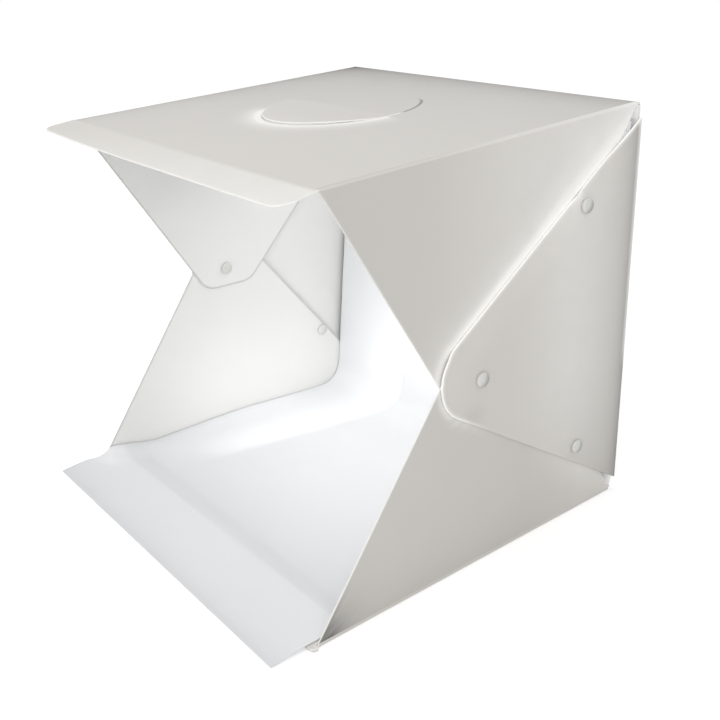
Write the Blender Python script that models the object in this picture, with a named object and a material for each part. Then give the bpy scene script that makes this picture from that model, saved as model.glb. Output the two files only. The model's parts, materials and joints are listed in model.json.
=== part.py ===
"""A folding tabletop light tent, die-cut and creased from thin translucent white sheet.

The base, back and top are one strip of sheet creased into a C. Each side is closed by three flaps that
lie over one another: the top flap inside, the bottom flap between, the back flap outside, held by three
press studs. A loose backdrop sheet hangs from the back panel and sweeps down over the base. The top has a
lip at the front, an oval viewing port with its own cover, and two light strips underneath.

Metres, +Z up. The front opening faces -Y. The origin is the middle of the base panel's underside.
"""

from math import acos, atan2, ceil, cos, pi, radians, sin, tan

import bmesh
import bpy
from mathutils import Matrix, Vector

# Sheet stock, and the gap kept between neighbouring pieces
SHEET = 0.0008
GAP = 0.0003

# The box, measured on its outer faces
TOP_WIDTH = 0.2380
BASE_DEPTH = 0.2280
BACK_LENGTH = 0.2323
BACK_LEAN = radians(1.37)
TOP_DEPTH = 0.2100
TOP_FALL = radians(2.95)

# Room between the bottom flap and the back flap, which the press studs fill
SNAP_SPACE = 0.0024

# Lip in front of the top, bent down a little
TOP_LIP_DEPTH = 0.0195
TOP_LIP_BEND = radians(8.0)
TOP_LIP_CORNER = 0.0100

# Lip in front of the base, folded back on itself under the backdrop
BASE_LIP_NOSE = 0.0042
BASE_LIP_RETURN = 0.0200
BASE_LIP_OVERHANG = 0.0016
BASE_LIP_CORNER = 0.0036

# The port, the front half of an oval, and its cover, hinged on the oval's widest line
PORT_CENTRE_X = -0.0050
PORT_FROM_REAR = 0.1005
PORT_HALF_WIDTH = 0.0400
PORT_LENGTH = 0.0470
PORT_KERF = 0.0005
PORT_COVER_LIFT = radians(2.8)
PORT_SEGMENTS = 40

# Press stud places, forward of the base's rear edge, and up from the table or down from the back's head
CENTRE_SNAP_FORWARD = 0.1226
CENTRE_SNAP_HEIGHT = 0.1130
UPPER_SNAP_FORWARD = 0.0498
UPPER_SNAP_FROM_HEAD = 0.0452
LOWER_SNAP_FORWARD = 0.0440
LOWER_SNAP_HEIGHT = 0.0467

# Front edges of the side flaps meet in a notch
NOTCH_FORWARD = 0.1475
NOTCH_HEIGHT = 0.1146

# The top and bottom flaps overlap in blunt lobes round the centre stud
LOBE_REACH = 0.0126
LOBE_CORNER = 0.0140

# Rear edges of the top and bottom flaps
TOP_FLAP_REAR_SETBACK = 0.0030
TOP_FLAP_BEND_FORWARD = 0.0575
TOP_FLAP_BEND_HEIGHT = 0.1500
TOP_FLAP_BEND_RADIUS = 0.0600
TOP_FLAP_LOBE_REAR = 0.1040
BOTTOM_FLAP_REAR_FORWARD = 0.0925
BOTTOM_FLAP_REAR_HEIGHT = 0.1130
BOTTOM_FLAP_REAR_CORNER = 0.0030

# The back flap runs from the rear edge to a round tongue
TONGUE_FORWARD = 0.1246
TONGUE_HEIGHT = 0.1142
TONGUE_RADIUS = 0.0232
BACK_FLAP_FROM_HEAD = 0.0062
BACK_FLAP_BOTTOM = 0.0090
BACK_FLAP_BEND_RUN = 0.0220
BACK_FLAP_BEND_STEPS = 6

# The back panel narrows to its foot
BACK_FOOT_TAPER = 0.0016
BACK_FOOT_TAPER_RISE = 0.0100

# Press studs, turned shapes
CAP_RADIUS = 0.0040
CAP_EDGE = 0.0007
CAP_HEIGHT = 0.0024
INNER_CAP_HEIGHT = 0.0019
POST_RADIUS = 0.0012
POST_HOLE_RADIUS = 0.0015
SOCKET_RADIUS = 0.0040
SOCKET_BORE_RADIUS = 0.0030
SOCKET_FLOOR = 0.00035
SOCKET_EASE = 0.0003
STUD_NECK_RADIUS = 0.0018
STUD_HEAD_RADIUS = 0.0021
STUD_PLAY = 0.0003
CLEARANCE_HOLE_RADIUS = 0.0044
TURNED_STEPS = 18

# The backdrop sheet, in side view and across the width
BACKDROP_SIDE_ROOM = 0.0021
BACKDROP_SIDE_SHIFT = -0.0014
BACKDROP_SHEET = 0.0005
BACKDROP_OVERHANG = 0.0210
BACKDROP_FRONT_CLEARANCE = 0.0006
BACKDROP_SLOPE = 0.0200
BACKDROP_SWEEP_FROM_REAR = 0.0470
BACKDROP_SWEEP_RUN = 0.0110
BACKDROP_SWEEP_RISE = 0.0100
BACKDROP_WALL_SETBACK = 0.0282
BACKDROP_WALL_HEIGHT = 0.0180
BACKDROP_FROM_HEAD = 0.0083
SLOPE_STEPS = 6
SWEEP_STEPS = 20

# Hook and loop pads that hold the backdrop's top edge
PAD_WIDTH = 0.0300
PAD_HEIGHT = 0.0160
PAD_THICKNESS = 0.0010
PAD_SIDE_INSET = 0.0172
PAD_FROM_HEAD = 0.0193

# The two light strips under the top
STRIP_LENGTH = 0.2000
STRIP_WIDTH = 0.0100
STRIP_BOARD = 0.0010
STRIP_TAPE = 0.0005
FRONT_STRIP_FROM_FRONT = 0.0220
REAR_STRIP_FROM_REAR = 0.0235
LAMP_COUNT = 20
LAMP_PITCH = 0.0090
LAMP_LENGTH = 0.0035
LAMP_WIDTH = 0.0028
LAMP_HEIGHT = 0.0008
RESISTOR_LENGTH = 0.0020
RESISTOR_WIDTH = 0.0012
RESISTOR_HEIGHT = 0.0005
RESISTOR_EVERY = 5

# A flat power inlet at the right end of each strip
INLET_LENGTH = 0.0055
INLET_WIDTH = 0.0075
INLET_HEIGHT = 0.0026
INLET_WALL = 0.0003
INLET_BACK = 0.0016
INLET_TONGUE_WIDTH = 0.0037
INLET_TONGUE_HEIGHT = 0.0006
INLET_TONGUE_INSET = 0.0008

# Largest turn between neighbouring points of a cut curve
ARC_STEP = radians(9.0)

# Layers across the width, from the middle outwards
TOP_FLAP_OUTER = TOP_WIDTH / 2
TOP_FLAP_INNER = TOP_FLAP_OUTER - SHEET
TOP_HALF_WIDTH = TOP_FLAP_INNER - GAP
BOTTOM_FLAP_INNER = TOP_FLAP_OUTER + GAP
BOTTOM_FLAP_OUTER = BOTTOM_FLAP_INNER + SHEET
BACK_FLAP_INNER = BOTTOM_FLAP_OUTER + SNAP_SPACE
BACK_FLAP_OUTER = BACK_FLAP_INNER + SHEET
BACK_HALF_WIDTH = BOTTOM_FLAP_OUTER + GAP + SHEET
BACKDROP_HALF_WIDTH = BOTTOM_FLAP_INNER - BACKDROP_SIDE_ROOM

# Levels and directions of the creased strip
BASE_REAR = BASE_DEPTH / 2
FOOT_HEIGHT = SHEET + GAP
BASE_LIP_TOP = FOOT_HEIGHT + SHEET
ACROSS = Vector((1, 0, 0))
UP_BACK = Vector((0, -sin(BACK_LEAN), cos(BACK_LEAN)))
BACK_OUTWARD = Vector((0, cos(BACK_LEAN), sin(BACK_LEAN)))
ALONG_TOP = Vector((0, -cos(TOP_FALL), -sin(TOP_FALL)))
TOP_UPWARD = Vector((0, -sin(TOP_FALL), cos(TOP_FALL)))
BACK_FOOT = Vector((0, BASE_REAR, FOOT_HEIGHT))
BACK_HEAD = BACK_FOOT + UP_BACK * BACK_LENGTH
TOP_REAR = BACK_HEAD + Vector((0, 0, GAP + SHEET))
TOP_FRONT = TOP_REAR + ALONG_TOP * TOP_DEPTH

# Press studs and the notch in side view, as world Y and Z
CENTRE_SNAP = (BASE_REAR - CENTRE_SNAP_FORWARD, CENTRE_SNAP_HEIGHT)
UPPER_SNAP = (BASE_REAR - UPPER_SNAP_FORWARD, BACK_HEAD.z - UPPER_SNAP_FROM_HEAD)
LOWER_SNAP = (BASE_REAR - LOWER_SNAP_FORWARD, LOWER_SNAP_HEIGHT)
NOTCH = (BASE_REAR - NOTCH_FORWARD, NOTCH_HEIGHT)

# Levels under the top, measured down from its upper face
TAPE_TOP = -SHEET - GAP
BOARD_TOP = TAPE_TOP - STRIP_TAPE - GAP
BOARD_FACE = BOARD_TOP - STRIP_BOARD
INLET_TOP = BOARD_FACE - GAP
STRIP_LINES = {"front": -TOP_DEPTH + FRONT_STRIP_FROM_FRONT, "rear": -REAR_STRIP_FROM_REAR}

SIDES = {"right": 1, "left": -1}

SHEET_WHITE = (0.80, 0.79, 0.77)


def clear_scene():
    for item in list(bpy.data.objects):
        bpy.data.objects.remove(item, do_unlink=True)


def finish(name, colour, roughness, metallic=0.0):
    """A plain material for one kind of piece."""
    material = bpy.data.materials.new(name)
    material.use_nodes = True
    shader = material.node_tree.nodes["Principled BSDF"]
    shader.inputs["Base Color"].default_value = (*colour, 1.0)
    shader.inputs["Roughness"].default_value = roughness
    shader.inputs["Metallic"].default_value = metallic
    return material


def frame_of(origin, along_x, along_y):
    """The matrix that carries local X and Y onto two directions at an origin."""
    matrix = Matrix((along_x, along_y, along_x.cross(along_y))).transposed().to_4x4()
    matrix.translation = origin
    return matrix


def hold(child, parent):
    """Hangs an object on another without moving it."""
    bpy.context.view_layer.update()
    child.parent = parent
    child.matrix_parent_inverse = parent.matrix_world.inverted()


def crease(name, place, parent=None):
    """An empty on a crease, which carries what folds about it."""
    empty = bpy.data.objects.new(name, None)
    empty.empty_display_size = 0.02
    empty.location = place
    bpy.context.collection.objects.link(empty)
    if parent:
        hold(empty, parent)
    return empty


def add_piece(name, mesh, material, matrix, parent=None):
    """Links a mesh as one named sub-part, places it by a matrix and hangs it on its crease."""
    piece = bpy.data.objects.new(name, mesh)
    bpy.context.collection.objects.link(piece)
    piece.matrix_world = matrix
    if parent:
        hold(piece, parent)
    if not mesh.materials:
        mesh.materials.append(material)
    return piece


def mesh_from(bm, name, smooth_angle=None):
    bmesh.ops.recalc_face_normals(bm, faces=bm.faces)
    mesh = bpy.data.meshes.new(name)
    bm.to_mesh(mesh)
    bm.free()
    if smooth_angle:
        mesh.shade_smooth()
        mesh.set_sharp_from_angle(angle=smooth_angle)
    return mesh


def add_loop(bm, points):
    verts = [bm.verts.new((x, y, 0)) for x, y in points]
    return verts, [bm.edges.new(pair) for pair in zip(verts, verts[1:] + verts[:1])]


def plate_mesh(name, outline, thickness, holes=(), islands=()):
    """An outline with holes, extruded along +Z. Islands are outlines that stand higher, each by its height."""
    bm = bmesh.new()
    edges = add_loop(bm, outline)[1]
    for hole in holes:
        edges += add_loop(bm, hole)[1]
    floors = []
    for shape, height in islands:
        verts, sides = add_loop(bm, shape)
        edges += sides
        floors.append((bm.faces.new(verts), height))
    filled = bmesh.ops.triangle_fill(bm, use_beauty=True, edges=edges)
    faces = {item for item in filled["geom"] if isinstance(item, bmesh.types.BMFace)}
    faces |= {face for face, height in floors}
    marks = {face.calc_center_median().to_tuple(7): height for face, height in floors}
    raised = bmesh.ops.extrude_face_region(bm, geom=list(faces), use_keep_orig=True)
    verts = [item for item in raised["geom"] if isinstance(item, bmesh.types.BMVert)]
    tops = [item for item in raised["geom"] if isinstance(item, bmesh.types.BMFace)]
    tops = [(face, marks.get(face.calc_center_median().to_tuple(7))) for face in tops]
    bmesh.ops.translate(bm, verts=verts, vec=(0, 0, thickness))
    for face, height in tops:
        if height and len(face.verts) > 3:
            lifted = bmesh.ops.extrude_discrete_faces(bm, faces=[face])["faces"][0]
            bmesh.ops.translate(bm, verts=lifted.verts, vec=(0, 0, height))
    return mesh_from(bm, name)


def plate(name, outline, thickness, material, matrix, parent=None, holes=(), islands=()):
    mesh = plate_mesh(name, outline, thickness, holes, islands)
    return add_piece(name, mesh, material, matrix, parent)


def block(name, size, material, matrix, parent=None):
    """A plain block about the matrix's origin."""
    bm = bmesh.new()
    bmesh.ops.create_cube(bm, size=1.0, matrix=Matrix.Diagonal((*size, 1)))
    return add_piece(name, mesh_from(bm, name), material, matrix, parent)


def turned_mesh(name, profile, closed):
    """Spins a profile of radius and height round local Z."""
    bm = bmesh.new()
    verts = [bm.verts.new((radius, 0, height)) for radius, height in profile]
    pairs = list(zip(verts, verts[1:]))
    if closed:
        pairs.append((verts[-1], verts[0]))
    edges = [bm.edges.new(pair) for pair in pairs]
    bmesh.ops.spin(bm, geom=verts + edges, cent=(0, 0, 0), axis=(0, 0, 1), angle=2 * pi,
                   steps=TURNED_STEPS, use_merge=True)
    bmesh.ops.remove_doubles(bm, verts=bm.verts, dist=1e-6)
    return mesh_from(bm, name, radians(40))


def circle(centre, radius):
    angles = [2 * pi * k / TURNED_STEPS for k in range(TURNED_STEPS)]
    return [(centre[0] + radius * cos(a), centre[1] + radius * sin(a)) for a in angles]


def arc(centre, radius, start, end):
    """Points on an arc from one angle to another, both ends included."""
    steps = max(2, ceil(abs(end - start) / ARC_STEP))
    angles = [start + (end - start) * k / steps for k in range(steps + 1)]
    return [(centre[0] + radius * cos(a), centre[1] + radius * sin(a)) for a in angles]


def rounded(corners):
    """An outline through corners given as x, y and fillet radius."""
    points = []
    for k, (x, y, radius) in enumerate(corners):
        if radius <= 0:
            points.append((x, y))
            continue
        here = Vector((x, y))
        back = (Vector(corners[k - 1][:2]) - here).normalized()
        ahead = (Vector(corners[(k + 1) % len(corners)][:2]) - here).normalized()
        half = acos(max(-1.0, min(1.0, back.dot(ahead)))) / 2
        centre = here + (back + ahead).normalized() * (radius / sin(half))
        start = here + back * (radius / tan(half)) - centre
        end = here + ahead * (radius / tan(half)) - centre
        first = atan2(start.y, start.x)
        turn = atan2(start.x * end.y - start.y * end.x, start.dot(end))
        points += arc(centre, radius, first, first + turn)
    return points


def touch_angle(point, centre, radius, side):
    """The angle on a circle where a line from an outside point touches it, on side +1 or -1."""
    away = Vector(point) - Vector(centre)
    return atan2(away.y, away.x) + side * acos(radius / away.length)


def back_front_face(height):
    """The Y of the back panel's front face at a height."""
    return BASE_REAR - SHEET / cos(BACK_LEAN) - (height - FOOT_HEIGHT) * tan(BACK_LEAN)


def on_line(first, second, height):
    """The Y of a line through two side-view points at a height."""
    share = (height - first[1]) / (second[1] - first[1])
    return first[0] + share * (second[0] - first[0])


def side_matrix(inner, outer, side):
    """Local X and Y become world Y and Z, on the layer between two distances from the middle."""
    low = inner if side > 0 else -outer
    return frame_of(Vector((low, 0, 0)), Vector((0, 1, 0)), Vector((0, 0, 1)))


def snap_matrix(distance, place, side, outward=True):
    """Local Z points away from the middle, or towards it, at a press stud."""
    first, second = Vector((0, 1, 0)), Vector((0, 0, 1))
    if (side if outward else -side) < 0:
        first, second = second, first
    return frame_of(Vector((side * distance, *place)), first, second)


def top_matrix(along=0.0, down=0.0, across=0.0):
    """Local Y runs back along the top and local Z up from its upper face, counted from its rear edge."""
    place = TOP_REAR - ALONG_TOP * along + TOP_UPWARD * down + ACROSS * across
    return frame_of(place, ACROSS, -ALONG_TOP)


def base_panel(material):
    half = BOTTOM_FLAP_OUTER
    outline = [(-half, -BASE_REAR), (half, -BASE_REAR), (half, BASE_REAR), (-half, BASE_REAR)]
    plate("base_panel", outline, SHEET, material, Matrix.Identity(4))


def base_front_lip(material):
    """A hem: the lip goes forward from the crease, round a tight nose and back over the base."""
    half = BOTTOM_FLAP_OUTER + BASE_LIP_OVERHANG
    inside = BOTTOM_FLAP_INNER - 2 * GAP
    start = -BASE_REAR - GAP
    nose = -BASE_REAR - BASE_LIP_NOSE
    end = -BASE_REAR + BASE_LIP_RETURN
    radius = BASE_LIP_TOP / 2
    fold = (nose + radius, radius)
    outer = arc(fold, radius, -pi / 2, -3 * pi / 2)
    inner = arc(fold, GAP / 2, -3 * pi / 2, -pi / 2)
    profile = [(start, 0)] + outer + [(end, BASE_LIP_TOP), (end, FOOT_HEIGHT)] + inner + [(start, SHEET)]
    lip = plate("base_front_lip", profile, 2 * half, material,
                frame_of(Vector((-half, 0, 0)), Vector((0, 1, 0)), Vector((0, 0, 1))))
    shoulder = -BASE_REAR - GAP / 2
    room = BASE_LIP_TOP
    plan = rounded([(-half, nose, BASE_LIP_CORNER), (half, nose, BASE_LIP_CORNER), (half, shoulder, 0),
                    (inside, shoulder, 0), (inside, end + room, 0), (-inside, end + room, 0),
                    (-inside, shoulder, 0), (-half, shoulder, 0)])
    mesh = plate_mesh("base_lip_plan", plan, 3 * room)
    guide = add_piece("base_lip_plan", mesh, material, Matrix.Translation((0, 0, -room)))
    guide.hide_render = True
    guide.display_type = "WIRE"
    cut = lip.modifiers.new("plan", "BOOLEAN")
    cut.operation = "INTERSECT"
    cut.solver = "EXACT"
    cut.object = guide


def back_panel(material):
    half = BACK_HALF_WIDTH
    foot = half - BACK_FOOT_TAPER
    outline = [(-foot, 0), (foot, 0), (half, BACK_FOOT_TAPER_RISE), (half, BACK_LENGTH),
               (-half, BACK_LENGTH), (-half, BACK_FOOT_TAPER_RISE)]
    plate("back_panel", outline, SHEET, material, frame_of(BACK_FOOT, ACROSS, UP_BACK))


def port_outline(margin):
    """The front half of the port's oval, shrunk by a margin, from one end of its hinge line to the other."""
    wide = PORT_HALF_WIDTH - margin
    long = PORT_LENGTH - margin
    line = [(wide, -margin)]
    for k in range(1, PORT_SEGMENTS):
        angle = pi / 2 + pi * k / PORT_SEGMENTS
        if long * cos(angle) < -margin:
            line.append((wide * sin(angle), long * cos(angle)))
    return line + [(-wide, -margin)]


def top_panel(material, fold):
    half = TOP_HALF_WIDTH
    outline = [(-half, -TOP_DEPTH), (half, -TOP_DEPTH), (half, 0), (-half, 0)]
    port = [(PORT_CENTRE_X + x, y - PORT_FROM_REAR) for x, y in port_outline(0.0)]
    plate("top_panel", outline, SHEET, material, top_matrix(down=-SHEET), fold, [port])


def port_cover(material, fold):
    """The cover stands a little open, turned about its hinge line."""
    chord = port_outline(PORT_KERF)[0][1] + PORT_KERF / 2
    outline = [(x, y - chord) for x, y in port_outline(PORT_KERF)]
    axis = top_matrix(along=chord - PORT_FROM_REAR, across=PORT_CENTRE_X)
    hinge = crease("port_crease", axis.translation, fold)
    place = axis @ Matrix.Rotation(-PORT_COVER_LIFT, 4, "X") @ Matrix.Translation((0, 0, -SHEET))
    plate("port_cover", outline, SHEET, material, place, hinge)


def top_front_lip(material, fold):
    half = TOP_FLAP_OUTER
    start = TOP_FRONT + ALONG_TOP * GAP / 2 - TOP_UPWARD * SHEET
    hinge = crease("lip_crease", start, fold)
    near, far = -GAP / 2, -TOP_LIP_DEPTH
    outline = rounded([(-half, far, TOP_LIP_CORNER), (half, far, TOP_LIP_CORNER),
                       (half, near, 0), (-half, near, 0)])
    ahead = Matrix.Rotation(TOP_LIP_BEND, 3, "X") @ ALONG_TOP
    plate("top_front_lip", outline, SHEET, material, frame_of(start, ACROSS, -ahead), hinge)


def top_flap_outline():
    """The top flap in side view, from its crease beside the top down to its lobe."""
    rear = TOP_REAR + ALONG_TOP * TOP_FLAP_REAR_SETBACK
    low = CENTRE_SNAP[1] - LOBE_REACH
    return rounded([
        (TOP_FRONT.y, TOP_FRONT.z, 0),
        (on_line((TOP_FRONT.y, TOP_FRONT.z), NOTCH, low), low, LOBE_CORNER),
        (BASE_REAR - TOP_FLAP_LOBE_REAR, low, LOBE_CORNER),
        (BASE_REAR - TOP_FLAP_BEND_FORWARD, TOP_FLAP_BEND_HEIGHT, TOP_FLAP_BEND_RADIUS),
        (rear.y, rear.z, 0),
    ])


def bottom_flap_outline():
    """The bottom flap in side view, from its crease beside the base up to its lobe."""
    front = (-BASE_REAR, FOOT_HEIGHT)
    rear = (back_front_face(FOOT_HEIGHT) - GAP, FOOT_HEIGHT)
    upper = (BASE_REAR - BOTTOM_FLAP_REAR_FORWARD, BOTTOM_FLAP_REAR_HEIGHT)
    high = CENTRE_SNAP[1] + LOBE_REACH
    return rounded([
        (*front, 0),
        (*rear, BOTTOM_FLAP_REAR_CORNER),
        (on_line(rear, upper, high), high, LOBE_CORNER),
        (on_line(front, NOTCH, high), high, LOBE_CORNER),
    ])


def back_flap_outline():
    """The back flap in side view: two straight edges that run tangent to a round tongue."""
    centre = (BASE_REAR - TONGUE_FORWARD, TONGUE_HEIGHT)
    height = BACK_HEAD.z - BACK_FLAP_FROM_HEAD
    top = (back_front_face(height) - GAP, height)
    foot = (back_front_face(BACK_FLAP_BOTTOM) - GAP, BACK_FLAP_BOTTOM)
    upper = touch_angle(top, centre, TONGUE_RADIUS, 1)
    lower = touch_angle(foot, centre, TONGUE_RADIUS, -1) + 2 * pi
    return [foot, top] + arc(centre, TONGUE_RADIUS, upper, lower)


def back_flap_section():
    """The back flap in plan, as distance forward of its crease and out from the middle: it leaves the crease
    at the back panel's width and bends out over the press studs."""
    reach = NOTCH_FORWARD
    rise = BACK_FLAP_OUTER - BACK_HALF_WIDTH
    line = [(-SHEET, BACK_HALF_WIDTH)]
    for k in range(BACK_FLAP_BEND_STEPS + 1):
        left = 1 - k / BACK_FLAP_BEND_STEPS
        line.append((BACK_FLAP_BEND_RUN * (1 - left), BACK_HALF_WIDTH + rise * (1 - left * left)))
    line.append((reach, BACK_FLAP_OUTER))
    return line + [(ahead, out - SHEET) for ahead, out in line[::-1]]


def back_flap(side, sign, material, parent):
    """The bent plate, cut to its outline and holes by a guide."""
    section = [(sign * out, -ahead) for ahead, out in back_flap_section()]
    place = frame_of(BACK_FOOT - BACK_OUTWARD * (SHEET + GAP), ACROSS, BACK_OUTWARD)
    mesh = plate_mesh(f"{side}_back_flap", section, BACK_LENGTH)
    flap = add_piece(f"{side}_back_flap", mesh, material, place, parent)
    holes = [circle(point, POST_HOLE_RADIUS) for point in (CENTRE_SNAP, UPPER_SNAP, LOWER_SNAP)]
    inner, outer = BACK_HALF_WIDTH - 2 * SHEET, BACK_FLAP_OUTER + SHEET
    mesh = plate_mesh(f"{side}_back_flap_plan", back_flap_outline(), outer - inner, holes)
    guide = add_piece(f"{side}_back_flap_plan", mesh, material, side_matrix(inner, outer, sign))
    guide.hide_render = True
    guide.display_type = "WIRE"
    cut = flap.modifiers.new("plan", "BOOLEAN")
    cut.operation = "INTERSECT"
    cut.solver = "EXACT"
    cut.object = guide


def side_flaps(material, fold):
    """Both sides, layer by layer, with each flap on its own crease."""
    creases = {}
    post = POST_HOLE_RADIUS
    for side, sign in SIDES.items():
        place = top_matrix(down=-SHEET, across=sign * (TOP_HALF_WIDTH + GAP / 2)).translation
        creases[side, "top"] = crease(f"{side}_top_crease", place, fold)
        plate(f"{side}_top_flap", top_flap_outline(), SHEET, material,
              side_matrix(TOP_FLAP_INNER, TOP_FLAP_OUTER, sign), creases[side, "top"],
              [circle(CENTRE_SNAP, post), circle(UPPER_SNAP, post)])
        place = Vector((sign * BOTTOM_FLAP_OUTER, 0, SHEET + GAP / 2))
        creases[side, "bottom"] = crease(f"{side}_bottom_crease", place)
        plate(f"{side}_bottom_flap", bottom_flap_outline(), SHEET, material,
              side_matrix(BOTTOM_FLAP_INNER, BOTTOM_FLAP_OUTER, sign), creases[side, "bottom"],
              [circle(CENTRE_SNAP, CLEARANCE_HOLE_RADIUS), circle(LOWER_SNAP, post)])
        place = BACK_FOOT - BACK_OUTWARD * (SHEET + GAP / 2) + ACROSS * sign * BACK_HALF_WIDTH
        creases[side, "back"] = crease(f"{side}_back_crease", place)
        back_flap(side, sign, material, creases[side, "back"])
    return creases


def cap_mesh(name, height, post_length):
    """A domed cap with a thin edge, and the post behind it that goes through the sheet."""
    rise = height - CAP_EDGE
    steps = [pi * k / 9 for k in range(5)]
    dome = [(CAP_RADIUS * cos(a), CAP_EDGE + rise * sin(a)) for a in steps]
    back = [(0, -post_length), (POST_RADIUS, -post_length), (POST_RADIUS, 0), (CAP_RADIUS - CAP_EDGE / 2, 0)]
    return turned_mesh(name, back + dome + [(0, height)], False)


def socket_mesh():
    """A ring with a thin floor round the post and an eased mouth."""
    height = SNAP_SPACE - 2 * GAP
    return turned_mesh("socket", [
        (POST_HOLE_RADIUS, 0), (SOCKET_RADIUS, 0), (SOCKET_RADIUS, height - SOCKET_EASE),
        (SOCKET_RADIUS - SOCKET_EASE, height), (SOCKET_BORE_RADIUS + SOCKET_EASE, height),
        (SOCKET_BORE_RADIUS, height - SOCKET_EASE), (SOCKET_BORE_RADIUS, SOCKET_FLOOR),
        (POST_HOLE_RADIUS, SOCKET_FLOOR)], True)


def stud_mesh(name, height):
    """A hollow stud with a foot, a neck and a rounded head."""
    lip = STUD_HEAD_RADIUS - STUD_NECK_RADIUS
    return turned_mesh(name, [
        (POST_HOLE_RADIUS, 0), (STUD_HEAD_RADIUS, 0), (STUD_NECK_RADIUS, lip),
        (STUD_NECK_RADIUS, height - 2.4 * lip), (STUD_HEAD_RADIUS, height - 1.6 * lip),
        (STUD_HEAD_RADIUS, height - 0.7 * lip), (STUD_NECK_RADIUS, height), (POST_HOLE_RADIUS, height)], True)


def press_studs(material, creases):
    """Caps and sockets on the back flap, caps and studs on the top and bottom flaps."""
    head = BACK_FLAP_INNER - GAP - SOCKET_FLOOR - STUD_PLAY
    places = {"centre": CENTRE_SNAP, "upper": UPPER_SNAP, "lower": LOWER_SNAP}
    owners = {"centre": "top", "upper": "top", "lower": "bottom"}
    layers = {"top": (TOP_FLAP_INNER, TOP_FLAP_OUTER), "bottom": (BOTTOM_FLAP_INNER, BOTTOM_FLAP_OUTER)}
    outer_cap = cap_mesh("outer_cap", CAP_HEIGHT, SHEET + 2 * GAP + SOCKET_FLOOR)
    socket = socket_mesh()
    caps = {flap: cap_mesh(f"{flap}_cap", INNER_CAP_HEIGHT, head - inner + GAP)
            for flap, (inner, outer) in layers.items()}
    studs = {flap: stud_mesh(f"{flap}_stud", head - outer - GAP) for flap, (inner, outer) in layers.items()}
    for side, sign in SIDES.items():
        for place, point in places.items():
            flap = owners[place]
            inner, outer = layers[flap]
            back = creases[side, "back"]
            own = creases[side, flap]
            add_piece(f"{side}_back_flap_{place}_cap", outer_cap, material,
                      snap_matrix(BACK_FLAP_OUTER + GAP, point, sign), back)
            add_piece(f"{side}_back_flap_{place}_socket", socket, material,
                      snap_matrix(BACK_FLAP_INNER - GAP, point, sign, False), back)
            add_piece(f"{side}_{flap}_flap_{place}_cap", caps[flap], material,
                      snap_matrix(inner - GAP, point, sign, False), own)
            add_piece(f"{side}_{flap}_flap_{place}_stud", studs[flap], material,
                      snap_matrix(outer + GAP, point, sign), own)


def bezier(points, share):
    """A point on a cubic through four control points."""
    a, b, c, d = (Vector(p) for p in points)
    keep = 1 - share
    return a * keep ** 3 + b * 3 * keep ** 2 * share + c * 3 * keep * share ** 2 + d * share ** 3


def backdrop_line():
    """The backdrop's middle line in side view: over the base lip, along the base, and swept up the back."""
    half = BACKDROP_SHEET / 2
    hump = BASE_LIP_TOP + GAP + half
    over = (-BASE_REAR - BASE_LIP_NOSE, hump)
    front = (over[0] - BACKDROP_OVERHANG, BACKDROP_FRONT_CLEARANCE + half)
    past = (-BASE_REAR + BASE_LIP_RETURN + GAP, hump)
    floor = FOOT_HEIGHT + half
    down = (past[0] + BACKDROP_SLOPE, floor)
    wall = (back_front_face(0) - BACKDROP_WALL_SETBACK, BACKDROP_WALL_HEIGHT)
    stand_off = 3 * GAP + 2 * PAD_THICKNESS + half
    height = BACK_HEAD.z - BACKDROP_FROM_HEAD
    head = Vector((back_front_face(height) - stand_off / cos(BACK_LEAN), height))
    rise = (head - Vector(wall)).normalized() * BACKDROP_SWEEP_RISE
    rest = (over[0] - front[0]) / 2
    ramp = [front, (front[0] + rest, front[1] + rest * 0.08), (over[0] - rest, hump), over]
    slope = [past, (past[0] + BACKDROP_SLOPE / 2, hump), (down[0] - BACKDROP_SLOPE / 2, floor), down]
    start = BASE_REAR - BACKDROP_SWEEP_FROM_REAR
    sweep = [(start, floor), (start + BACKDROP_SWEEP_RUN, floor),
             (wall[0] - rise.x, wall[1] - rise.y), wall]
    line = [bezier(ramp, k / SLOPE_STEPS) for k in range(SLOPE_STEPS + 1)]
    line += [bezier(slope, k / SLOPE_STEPS) for k in range(SLOPE_STEPS + 1)]
    line += [bezier(sweep, k / SWEEP_STEPS) for k in range(SWEEP_STEPS + 1)]
    return line + [head]


def backdrop(material):
    """The middle line thickened to both sides and carried across the width."""
    line = backdrop_line()
    upper, lower = [], []
    for k, point in enumerate(line):
        ahead = line[min(len(line) - 1, k + 1)] - line[max(0, k - 1)]
        offset = Vector((-ahead.y, ahead.x)).normalized() * BACKDROP_SHEET / 2
        upper.append(tuple(point + offset))
        lower.append(tuple(point - offset))
    left = BACKDROP_SIDE_SHIFT - BACKDROP_HALF_WIDTH
    sheet = plate("backdrop_sheet", lower + upper[::-1], 2 * BACKDROP_HALF_WIDTH, material,
                  frame_of(Vector((left, 0, 0)), Vector((0, 1, 0)), Vector((0, 0, 1))))
    sheet.data.shade_smooth()
    sheet.data.set_sharp_from_angle(angle=radians(30))


def backdrop_pads(hook, loop):
    """Pads in line on the back panel's front face and on the backdrop's rear face."""
    across = BACKDROP_HALF_WIDTH - PAD_SIDE_INSET - PAD_WIDTH / 2
    for side, sign in SIDES.items():
        for kind, material, layer in (("hook", hook, 0), ("loop", loop, 1)):
            off = SHEET + (layer + 1) * GAP + (layer + 0.5) * PAD_THICKNESS
            place = BACK_HEAD - UP_BACK * PAD_FROM_HEAD - BACK_OUTWARD * off + ACROSS * sign * across
            block(f"{side}_{kind}_pad", (PAD_WIDTH, PAD_HEIGHT, PAD_THICKNESS), material,
                  frame_of(place, ACROSS, UP_BACK))


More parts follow.
